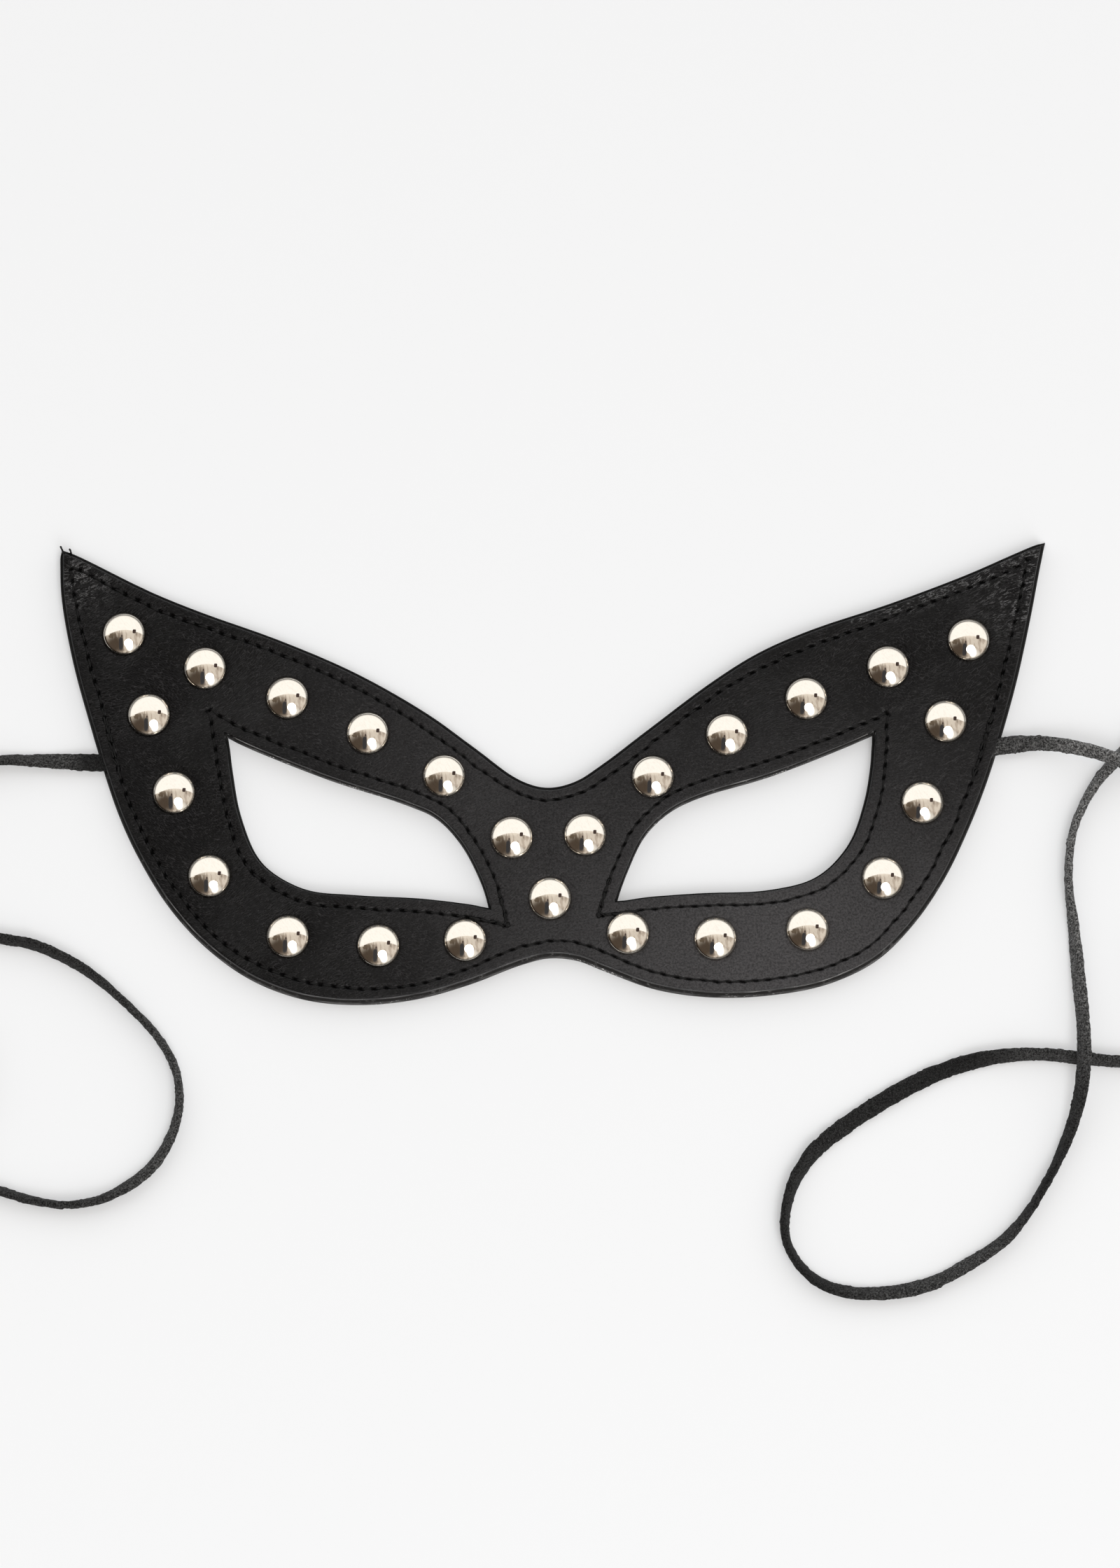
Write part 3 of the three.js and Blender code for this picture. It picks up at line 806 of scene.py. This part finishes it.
class Panel:
    """The leather panel's plan: its loops, seams and studs, and the height of its face."""

    def __init__(self):
        self.loops = read_outlines()
        self.edge = np.vstack(self.loops)
        self.set_in = np.repeat(FRONT_INSETS, [len(loop) for loop in self.loops])
        self.seams = [Seam(loop, *settings) for loop, settings in zip(self.loops, SEAMS)]
        self.seam_points = np.vstack([seam.line for seam in self.seams])
        self.holes = np.vstack([seam.holes for seam in self.seams])
        self.ways = np.vstack([seam.ways for seam in self.seams])
        self.slots = np.vstack([seam.slots for seam in self.seams])
        self.studs = stud_centres()

    def edge_distance(self, xy):
        return nearest(xy, self.edge)[0]

    def rim_distance(self, xy):
        """How far inside the edge of the front face each point is."""
        away, which = nearest(xy, self.edge)
        return away - self.set_in[which]

    def slot_reach(self, xy):
        """The squared distance from the nearest slot, in slot sizes, and the plain distance."""
        to_hole, hole = nearest(xy, self.holes)
        along = ((xy - self.holes[hole]) * self.ways[hole]).sum(1)
        across = np.sqrt(np.maximum(to_hole**2 - along**2, 0))
        long, wide = (self.slots[hole] * HOLE_HALF_SIZE).T
        return (along / long) ** 2 + (across / wide) ** 2, to_hole

    # Each of the next seven says where the leather has a look of its own, or where light or shade is
    # painted on it, from 0 to 1.

    def slot(self, xy):
        """Down in a needle slot, where the colour is painted shade, near black."""
        return np.exp(-(self.slot_reach(xy)[0] ** 2))

    def painted_lip_highlight(self, xy):
        """Painted highlight on the rim of a needle slot, on its side up the page."""
        reach, _ = self.slot_reach(xy)
        _, hole = nearest(xy, self.holes)
        above = np.clip((xy - self.holes[hole])[:, 1] / (0.3 * MM), 0, 1)
        strong = np.clip(self.slots[hole, 0] * 4 - 3.4, 0, 1)
        return np.exp(-((np.sqrt(reach) - 1.4) ** 2) / 0.05) * above * strong

    def worn(self, xy):
        """Rubbed along the rim of the face."""
        return np.exp(-np.maximum(self.rim_distance(xy), 0) / (0.12 * MM))

    def painted_lit_edge(self, xy):
        """Painted light: the edges that face down the page, towards the lamp, are drawn lighter than
        the rest.
        """
        facing = np.vstack([normals(loop) for loop in self.loops])
        return np.clip(facing[nearest(xy, self.edge)[1], 1] * 1.3 - 0.1, 0, 1)

    def creased(self, xy):
        """Folded over at the wing tips and the right brow's edge."""
        x, y = xy.T / MM
        tips = patch(xy, (-94.5, 39), 5) + 0.7 * patch(xy, (92, 34), 6)
        brow = np.exp(-((self.edge_distance(xy) / (3.4 * MM)) ** 4)) * (x > 60) * (y > 30)
        return np.clip(tips + brow, 0, 1)

    def drawn(self, xy):
        """Drawn into fine lines, beside the right eye."""
        return patch(xy, (80, 6), (17, 24))

    def painted_sheen(self, xy):
        """Painted sheen: greyer where the leather would catch more light, on the right cheek, the nose
        and the left brow.
        """
        cheek, nose = patch(xy, (45, -38), (50, 33)), patch(xy, (-15, 0), (22, 25))
        brow = patch(xy, (-42, 12), (22, 14))
        return np.clip(0.95 * cheek + 0.28 * nose + 0.13 * brow, 0, 1)

    def face_height(self, xy):
        """The height of the front face over the table."""
        z = FACE_TOP + sway(xy) + 0.018 * MM * smooth_noise(xy, 9 * MM, 2)
        to_seam = nearest(xy, self.seam_points)[0]
        z -= GROOVE_DEPTH * bell(to_seam, GROOVE_HALF_WIDTH) + 0.04 * MM * bell(to_seam, 1.2 * MM)
        reach, to_hole = self.slot_reach(xy)
        z -= HOLE_DEPTH * np.exp(-(reach**1.5)) + 0.05 * MM * bell(to_hole, 1.0 * MM)
        z += 0.04 * MM * bell(np.sqrt(reach) - 1.7, 0.5)
        to_stud = nearest(xy, self.studs)[0]
        z -= STUD_SEAT * bell(np.maximum(to_stud - STUD_RADIUS, 0), 0.8 * MM)
        z -= 0.30 * MM * np.clip((STUD_RADIUS + 0.06 * MM - to_stud) / (0.2 * MM), 0, 1)
        rim = self.rim_distance(xy)
        inside = np.clip(EDGE_DROP_RADIUS - rim, 0, EDGE_DROP_RADIUS)
        z -= EDGE_DROP_RADIUS - np.sqrt(EDGE_DROP_RADIUS**2 - inside**2 * 0.98)
        return z + 0.02 * MM * bell(rim - 0.95 * MM, 0.8 * MM)


def thinned(groups, gap):
    """The groups' points, without any that is nearer than gap to an earlier one."""
    taken, kept = {}, []
    for group in groups:
        for x, y in group:
            row, column = math.floor(y / gap), math.floor(x / gap)
            near = (taken.get((row + i, column + j)) for i in (-1, 0, 1) for j in (-1, 0, 1))
            if all(p is None or (p[0] - x) ** 2 + (p[1] - y) ** 2 >= gap**2 for p in near):
                taken[row, column] = (x, y)
                kept.append((x, y))
    return np.array(kept)


def inside_loops(points, loops):
    """Whether each point is inside the first loop and outside the others."""
    odd = np.zeros(len(points), bool)
    x, y = points.T
    for loop in loops:
        loop = loop[:: max(1, len(loop) // 1500)]
        for (x0, y0), (x1, y1) in zip(loop, np.roll(loop, -1, 0)):
            if y0 == y1:
                continue
            crosses = (y >= min(y0, y1)) & (y < max(y0, y1))
            odd ^= crosses & (x < x0 + (y - y0) * (x1 - x0) / (y1 - y0))
    return odd


def hex_grid(step, border):
    low, high = border.min(0), border.max(0)
    rows = []
    for i, y in enumerate(np.arange(low[1], high[1], step * math.sqrt(3) / 2)):
        x = np.arange(low[0] + (i % 2) * step / 2, high[0], step)
        rows.append(np.stack([x, np.full(len(x), y)], 1))
    return np.vstack(rows)


def triangulated(borders, inner=NO_POINTS):
    """Points and triangles that fill the borders, with the inner points among them."""
    scale = 1000.0  # the triangulation works in millimetres
    edges, count = [], 0
    for border in borders:
        edges += [(count + i, count + (i + 1) % len(border)) for i in range(len(border))]
        count += len(border)
    # An output type of 0 gives triangles, out to the convex hull.
    everything = [Vector(p) for p in np.vstack([*borders, inner]) * scale]
    out = delaunay_2d_cdt(everything, edges, [], 0, 1e-5, False)
    points = np.array([tuple(p) for p in out[0]]) / scale
    triangles = np.array([tuple(f) for f in out[2]])
    return points, triangles[inside_loops(points[triangles].mean(1), borders)]


def panel_top(panel):
    """The plan of the front face: fine round its edges, seams, needle slots and studs."""
    borders = [moved_in(loop, inset) for loop, inset in zip(panel.loops, FRONT_INSETS)]
    edge_rows = [
        moved_in(loop, inset + row * MM)
        for row in (0.07, 0.16, 0.28, 0.42, 0.7, 1.1)
        for loop, inset in zip(panel.loops, FRONT_INSETS)
    ]
    across = turn_left(panel.ways)
    pits = [
        panel.holes + (panel.ways * i + across * j) * MM
        for i in (0.0, -0.25, 0.25, -0.5, 0.5, -0.78, 0.78)
        for j in (0.0, -0.19, 0.19, -0.4, 0.4)
    ]
    seats = [
        stud + circle(64) * radius * MM
        for radius in (4.1, 4.3, 4.5, 4.8, 5.3)
        for stud in panel.studs
    ]
    offsets = (0.0, -0.22, 0.22, -0.45, 0.45, -0.75, 0.75, -1.2, 1.2)
    seam_rows = [row for seam in panel.seams for row in seam.beside(offsets)]
    groups = [*pits, *edge_rows[:9], *seats, *seam_rows, *edge_rows[9:]]
    kept = thinned([*groups, hex_grid(GRID_STEP, borders[0])], POINT_GAP)
    deep = panel.rim_distance(kept) > 0.05 * MM
    return borders, kept[deep & inside_loops(kept, borders)]


def level(plan, height):
    """The plan's points at a height, or each at its own."""
    return np.column_stack([plan, np.broadcast_to(height, len(plan))])


def wall_rows(borders, rows, start, scales=None):
    """Loops that step down a wall from each border. rows are pairs of inset and height, start is
    the border's own inset, and each border has a scale for its insets."""
    walls = []
    for border, scale in zip(borders, scales or [1] * len(borders)):
        out = -normals(border)
        before = turn_left(unit(border - np.roll(border, 1, 0)))
        out = out / np.maximum((out * -before).sum(1), 0.36)[:, None]
        walls.append([level(border + out * (start - inset) * scale, z) for inset, z in rows])
    return walls


def slab(name, borders, walls, top, bottom, material):
    """A closed layer: a top sheet, walls down from its borders, and a bottom sheet. top and
    bottom are pairs: the points inside the sheet, and a function that gives its height."""
    plan, triangles = triangulated(borders, top[0])
    points = [level(plan, top[1](plan))]
    faces = [tuple(t) for t in triangles]
    count, offset = len(plan), 0
    rim, lowest = [], []
    for border, rows in zip(borders, walls):
        size = len(border)
        above = range(offset, offset + size)
        offset += size
        for row in rows:
            below = range(count, count + size)
            points.append(row)
            count += size
            for i in range(size):
                j = (i + 1) % size
                faces.append((above[i], below[i], below[j], above[j]))
            above = below
        rim += above
        lowest.append(rows[-1][:, :2])
    plan, triangles = triangulated(lowest, bottom[0])
    inner = plan[len(rim):]
    points.append(level(inner, bottom[1](inner)))
    index = rim + list(range(count, count + len(inner)))
    faces += [tuple(index[i] for i in t[::-1]) for t in triangles]
    return new_object(name, np.vstack(points), faces, material)


# Each layer's wall, from its top down: how far in it is, in millimetres, and then the front's
# depth in millimetres, the core's depth as a part of its thickness, and the lining's height.
FRONT_WALL = [
    (0.92, 0.31), (0.89, 0.42), (0.85, 0.62), (0.78, 0.88), (0.75, 1.00), (0.81, 1.06), (1.10, 1.10),
]
CORE_WALL = [(0.03, 0.06), (-0.04, 0.2), (0.0, 0.45), (0.05, 0.75), (0.09, 0.92), (0.14, 1.0)]
LINING_WALL = [(0.24, 0.76), (0.16, 0.66), (0.06, 0.4), (0.02, 0.2), (0.04, 0.08), (0.14, 0.0)]
CORE_SET_IN = 0.1 * MM
LINING_SET_IN = 0.35 * MM
POCKET_AREA = 1e-4  # the core's eye openings are larger than this, its other holes smaller


def make_front(panel):
    borders, inner = panel_top(panel)
    holes = [stud + circle(24)[::-1] * POST_HOLE_RADIUS for stud in panel.studs]
    inner = inner[nearest(inner, panel.studs)[0] > POST_HOLE_RADIUS + 0.3 * MM]
    rows = [(inset * MM, FACE_TOP - down * MM) for inset, down in FRONT_WALL]
    walls = wall_rows(borders, rows, FRONT_INSETS[0], FLARE)
    walls += wall_rows(holes, [(0, FRONT_BACK + 0.5 * MM), (0, FRONT_BACK)], 0)
    top, bottom = (inner, panel.face_height), (NO_POINTS, lambda xy: FRONT_BACK)
    leather = leather_face_material()
    front = slab("front_leather_panel", borders + holes, walls, top, bottom, leather)
    xy = read_places(front.data.vertices, "co")[:, :2]
    for look in (
        panel.slot, panel.worn, panel.creased, panel.painted_lit_edge, panel.painted_lip_highlight, panel.painted_sheen, panel.drawn
    ):
        set_attribute(front, look.__name__, look(xy))
    front.data.materials.append(edge_paint_material())
    centres = read_places(front.data.polygons, "center")
    wall = panel.rim_distance(centres[:, :2]) < 0.02 * MM
    painted = wall & (centres[:, 2] < FACE_TOP - 0.1 * MM)
    front.data.polygons.foreach_set("material_index", painted.astype(int))
    finish_piece(front, "front_leather", "front_leather")


def mark_edge(obj, panel):
    """Marks the cut edge of a layer where it faces down the page, for the painted light there."""
    xy = read_places(obj.data.vertices, "co")[:, :2]
    near = np.exp(-((panel.edge_distance(xy) / (1.3 * MM)) ** 4))
    set_attribute(obj, "painted_lit_edge", panel.painted_lit_edge(xy) * near)


def make_core(panel):
    """The board between the leathers, cut out for the stud bases and the roots of the laces."""
    outline, *holes = cad_loops("stiffener_core")
    outline = evenly(outline, 0.4 * MM, closed=True)
    for _ in range(3):  # softens its corners
        outline = (np.roll(outline, 1, 0) + 2 * outline + np.roll(outline, -1, 0)) / 4
    borders = [outline]
    borders += [moved_in(loop, 0.45 * MM * FLARE[1]) for loop in panel.loops[1:]]
    borders += [hole for hole in holes if abs(area_of(hole)) < POCKET_AREA]
    borders = leather_on_left(borders)
    depth = FRONT_BACK - CORE_BACK
    rows = [(inset * MM, FRONT_BACK - depth * down) for inset, down in CORE_WALL]
    walls = wall_rows(borders, rows, CORE_SET_IN)
    borders = [b + normals(b) * CORE_SET_IN for b in borders]
    top, bottom = (NO_POINTS, lambda xy: FRONT_BACK), (NO_POINTS, lambda xy: CORE_BACK)
    board = slab("stiffener_board", borders, walls, top, bottom, core_material())
    mark_edge(board, panel)
    finish_piece(board, "stiffener", "stiffener_core")


def make_lining(panel):
    """The back leather, with a groove on its back for the bobbin side of each seam."""
    borders = [moved_in(loop, LINING_SET_IN * flare) for loop, flare in zip(panel.loops, FLARE)]
    rows = [(inset * MM, z * MM) for inset, z in LINING_WALL]
    walls = wall_rows(borders, rows, LINING_SET_IN, FLARE)
    offsets = (0, -0.3, 0.3, -0.6, 0.6, -1.0, 1.0)
    groups = [row for seam in panel.seams for row in seam.beside(offsets)]
    inner = thinned([*groups, hex_grid(3 * MM, borders[0])], 0.25 * MM)
    inner = inner[(panel.edge_distance(inner) > 0.9 * MM) & inside_loops(inner, panel.loops)]

    def back_height(xy):
        return 0.42 * MM * bell(nearest(xy, panel.seam_points)[0], 0.42 * MM)

    top = (NO_POINTS, lambda xy: CORE_BACK)
    lining = slab("lining_leather", borders, walls, top, (inner, back_height), lining_material())
    mark_edge(lining, panel)
    finish_piece(lining, "lining", "lining")


# ---- Stitches ----

SLOT_END = 0.38 * MM  # from the middle of a needle slot to where the thread leaves it
THREAD_SIDES = 9
TWICE_REACH = 8 * MM  # how far from an eye's inner corner the seam is sewn twice
EYE_KNOTS = [(-0.0081, -0.0316), (0.0083, -0.0289)]
TIP_STITCHES = [((-0.0979, 0.0440), (-0.0987, 0.0456)), ((-0.0966, 0.0440), (-0.0968, 0.0450))]
THREAD_TWIST = 1.15 * MM  # the length in which the two plies turn once
STITCH_STEPS = np.array([0, 0.06, 0.13, 0.21, 0.3, 0.4, 0.5, 0.6, 0.7, 0.79, 0.87, 0.94, 1])


def twisted_thread(centres, radius, phase):
    """A two-ply thread: a tube whose section is pinched, and turns along the thread."""
    angle = 2 * math.pi * np.arange(THREAD_SIDES) / THREAD_SIDES
    turn = phase + lengths_along(centres) / THREAD_TWIST * 2 * math.pi
    width = radius * (1 + 0.16 * np.cos(2 * (angle - turn[:, None])))
    rings, faces = tube(centres, (0, 0, 1.0), width * np.cos(angle), width * np.sin(angle))
    return rings.reshape(-1, 3), faces


def stitch(start, end, height, dive, draw, slant=0.06, bow=0.0):
    """One stitch, up out of one slot, over, and down into the next. Its middle is at the height
    that a function gives, and its ends are a dive lower."""
    s = STITCH_STEPS
    run = end - start
    shift = (slant * (0.5 - s) * 2 + bow * np.sin(math.pi * s)) * MM
    xy = start + run * (0.02 + 0.96 * s)[:, None] + turn_left(unit(run)) * shift[:, None]
    sink = np.clip(1 - np.minimum(s, 1 - s) / 0.2, 0, 1) ** 2
    centres = level(xy, height(xy) - dive * sink + draw.normal(0, 0.015 * MM))
    return twisted_thread(centres, THREAD_RADIUS * draw.uniform(0.92, 1.06), draw.uniform(0, 6))


def make_seam(name, node, seam, seed, extra, material):
    """A seam's thread on both faces. extra gives the places that are sewn over again."""
    draw = np.random.default_rng(seed)

    def front(xy):
        return FACE_TOP - GROOVE_DEPTH - 0.03 * MM + sway(xy)

    def over(xy):
        return front(xy) + 0.16 * MM

    def back(xy):
        return 0.18 * MM

    parts = []
    holes, reach = seam.holes, seam.ways * SLOT_END
    for a, b in zip(holes + reach, np.roll(holes - reach, -1, 0)):
        parts.append(stitch(a, b, front, 0.6 * MM, draw))
    for a, b in zip(holes, np.roll(holes, -1, 0)):
        parts.append(stitch(a, b, back, -0.3 * MM, draw, 0.05))
    for a, b in extra:
        slant, bow = draw.uniform(-0.2, 0.2), draw.uniform(-0.12, 0.12)
        parts.append(stitch(np.array(a), np.array(b), over, 0.9 * MM, draw, slant, bow))
    points, faces = join_meshes(parts)
    points[:, 2] = np.maximum(points[:, 2], 0.005 * MM)
    finish_piece(new_object(name, points, faces, material), "seam_thread", node)


def sewn_along(run, step, scatter, draw, aside=0.0):
    """The ends of stitches along a run, each off its place by a little."""
    spots = evenly(run, step) + [aside * MM, 0]
    spots = spots + draw.normal(0, scatter * MM, spots.shape)
    return list(zip(spots, spots[1:]))


def back_stitches(seam, low, high, side, seed):
    """Stitches sewn over again on one side of the mask, between two heights on the page."""
    draw = np.random.default_rng(seed)
    x, y = seam.line.T
    run = seam.line[(y > low) & (y < high) & (x * side > 0.08)]
    run = run[np.argsort(run[:, 1])]
    return [pair for aside in (-0.22, 0.2) for pair in sewn_along(run, 1.75 * MM, 0.1, draw, aside)]


def sewn_twice(seam, middle, seed):
    """Stitches sewn over again along the seam on both sides of a corner, and a knot at it."""
    draw = np.random.default_rng(seed)
    away = np.linalg.norm(seam.line - middle, axis=1)
    start = -int(away.argmax())
    line, away = np.roll(seam.line, start, 0), np.roll(away, start)
    run, corner = line[away < TWICE_REACH], line[away.argmin()]
    extra = [pair for _ in range(2) for pair in sewn_along(run, 1.5 * MM, 0.13, draw)]
    for _ in range(4):
        turn = draw.uniform(0, math.pi)
        arm = np.array([math.cos(turn), math.sin(turn)]) * 0.6 * MM
        extra.append((corner - arm, corner + arm))
    return extra


def make_seams(panel):
    thread = thread_material()
    outline, *eyes = panel.seams
    extra = back_stitches(outline, -0.0008, 0.0108, -1, 4)
    extra += back_stitches(outline, -0.0012, 0.0112, 1, 5) + TIP_STITCHES
    make_seam("outline_stitches", "outer_seam_thread", outline, 31, extra, thread)
    for i, (side, seam) in enumerate(zip(("left", "right"), eyes)):
        extra = sewn_twice(seam, EYE_KNOTS[i], 51 + i)
        make_seam(f"{side}_eye_stitches", f"{side}_eye_seam_thread", seam, 41 + i, extra, thread)


# ---- Studs ----

# A cap's section: the radius of each arc, from the dome to the rolled rim, and the slope
# that it ends with.
CAP_ARCS = [(6.3 * MM, 33.2, 12), (3.2 * MM, 47, 6), (0.9 * MM, 90, 6)]
CAP_SEGMENTS = 64
CAP_TILT = 0.008  # how far the caps lean, as a slope


def cap_profile():
    """Radius and height from the top of the dome, down and round the rolled rim."""
    profile, r, z, slope = [], 0.0, 0.0, 0.0
    for arc, degrees, steps in CAP_ARCS:
        end = math.radians(degrees)
        for i in range(1, steps + 1):
            a = slope + (end - slope) * i / steps
            profile.append((
                r + arc * (math.sin(a) - math.sin(slope)),
                z + arc * (math.cos(a) - math.cos(slope)),
            ))
        (r, z), slope = profile[-1], end
    for inward, down in ((0.03, 0.06), (0.12, 0.09), (0.4, 0.08), (0.5, 0.0)):
        profile.append((r - inward * MM, z - down * MM))
    return profile


def cap_faces(rings):
    """A fan round the top, rows of faces from ring to ring, and a flat underside."""
    ahead = [(j, (j + 1) % CAP_SEGMENTS) for j in range(CAP_SEGMENTS)]
    faces = [(0, 1 + j, 1 + k) for j, k in ahead]
    for i in range(rings - 1):
        a, b = 1 + i * CAP_SEGMENTS, 1 + (i + 1) * CAP_SEGMENTS
        faces += [(a + j, b + j, b + k, a + k) for j, k in ahead]
    return faces + [tuple(range(b, b + CAP_SEGMENTS))[::-1]]


def make_studs(panel):
    nickel, steel = nickel_material(), steel_material()
    profile = cap_profile()
    faces = cap_faces(len(profile))
    draw = random.Random(9)
    for name, centre in zip(stud_nodes(), panel.studs):
        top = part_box(name)[1].z
        tilt = draw.gauss(0, CAP_TILT), draw.gauss(0, CAP_TILT)
        points = [level(centre[None], top)]
        for radius, z in profile:
            ring = circle(CAP_SEGMENTS) * radius
            points.append(level(centre + ring, top + z + ring @ tilt))
        cap = new_object(name.replace("stud_cap", "stud_dome"), np.vstack(points), faces, nickel)
        finish_piece(cap, "stud_nickel", name)
    for name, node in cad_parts.items():
        if name.startswith("stud_base_"):
            for material_slot in node.material_slots:
                material_slot.material = steel


# ---- Floor and light ----


# Soft shapes in the room that the studs reflect, by the direction they are in: place east and
# north, half size, softness, whether square, and colour.
ROOM_SHAPES = [
    (-0.60, -0.55, 0.50, 0.50, 0.9, False, (0.085, 0.065, 0.05)),
    (-0.15, -0.08, 0.045, 0.08, 0.5, False, (0.07, 0.055, 0.05)),
    (-0.20, -0.50, 0.13, 0.34, 0.7, True, (0.05, 0.05, 0.055)),
    (-0.30, 0.10, 0.012, 0.34, 0.5, True, (0.22, 0.18, 0.14)),
    (-0.88, 0.06, 0.06, 0.05, 0.6, False, (0.9, 0.85, 0.78)),
    (0.42, -0.74, 0.30, 0.26, 0.9, False, (0.9, 0.88, 0.84)),
    (0.285, -0.62, 0.195, 0.25, 0.6, False, 2.4),
]
FLOOR_HALF = 4.0
LAMP_ELEVATION = math.radians(57)
LAMP_AZIMUTH = math.radians(-67)
LAMP_DISTANCE = 1.6


def make_floor():
    h = FLOOR_HALF
    corners = [(-h, -h, 0), (h, -h, 0), (h, h, 0), (-h, h, 0)]
    new_object("floor", corners, [(0, 1, 2, 3)], floor_material())


def make_lamp():
    data = bpy.data.lights.new("lamp", "AREA")
    data.shape = "DISK"
    data.size = 0.9
    data.energy = 6.5
    data.color = (1.0, 0.99, 0.97)
    lamp = bpy.data.objects.new("lamp", data)
    out = LAMP_DISTANCE * math.cos(LAMP_ELEVATION)
    up = LAMP_DISTANCE * math.sin(LAMP_ELEVATION)
    lamp.location = (out * math.cos(LAMP_AZIMUTH), out * math.sin(LAMP_AZIMUTH), up)
    lamp.rotation_euler = (-lamp.location).to_track_quat("-Z", "Y").to_euler()
    lamp.visible_camera = False
    bpy.context.scene.collection.objects.link(lamp)


def make_world():
    """A bright wall of diffused light behind the object and a dimmer room in front of it."""
    world = bpy.data.worlds.new("studio")
    bpy.context.scene.world = world
    n = Nodes("studio", world)
    direction = n.add("TexCoord", "Generated")
    east, north, height = (n.add("SeparateXYZ", axis, {0: direction}) for axis in "XYZ")

    def spot(at_east, at_north, wide, deep, edge, square):
        across = n.math("DIVIDE", n.math("SUBTRACT", east, at_east), wide)
        along = n.math("DIVIDE", n.math("SUBTRACT", north, at_north), deep)
        for _ in range(2 if square else 1):
            across, along = n.times(across, across), n.times(along, along)
        return n.ramp(n.plus(across, along), 1 - edge, 1 + edge, 1.0, 0.0)

    rise = n.plus(north, n.times(n.times(east, east), 0.263))
    rise = n.plus(rise, n.times(east, -0.039))
    room = n.mix(n.ramp(east, -0.75, 0.1), (0.20, 0.16, 0.12), (0.60, 0.53, 0.47))
    room = n.mix(n.ramp(north, 0.04, 0.30, 0.0, 0.85), room, (0.98, 0.91, 0.83))
    mottle = n.noise(n.place((5, 1.6, 1.6), 0.1, direction), 1.0, 1, 0.5)
    room = n.mix(n.ramp(mottle, 0.50, 0.62, 0.0, 0.55), room, (0.14, 0.11, 0.085))
    room = n.mix(n.ramp(mottle, 0.47, 0.38, 0.0, 0.5), room, (0.98, 0.93, 0.85))
    for *shape, color in ROOM_SHAPES:
        room = n.mix(spot(*shape), room, color)
    whole = n.mix(n.ramp(rise, 0.28, 0.325), room, (1.21, 1.205, 1.19))
    whole = n.mix(spot(0.58, 0.23, 0.085, 0.12, 0.2, True), whole, (0.07, 0.05, 0.045))
    low = n.math("POWER", n.math("DIVIDE", n.math("MAXIMUM", height, 0.0), 0.31), 1.5)
    whole = n.mix(n.math("ADD", low, 0.05, clamp=True), 0.0, whole)
    whole = n.mix(n.add("LightPath", "Is Camera Ray"), whole, 0.93)
    n.feed(n.tree.nodes["Background"].inputs["Color"], whole)


def main():
    make_camera()
    make_laces()
    panel = Panel()
    make_front(panel)
    make_core(panel)
    make_lining(panel)
    make_seams(panel)
    make_studs(panel)
    make_floor()
    make_world()
    make_lamp()
    bpy.context.scene.view_settings.view_transform = "Standard"


main()
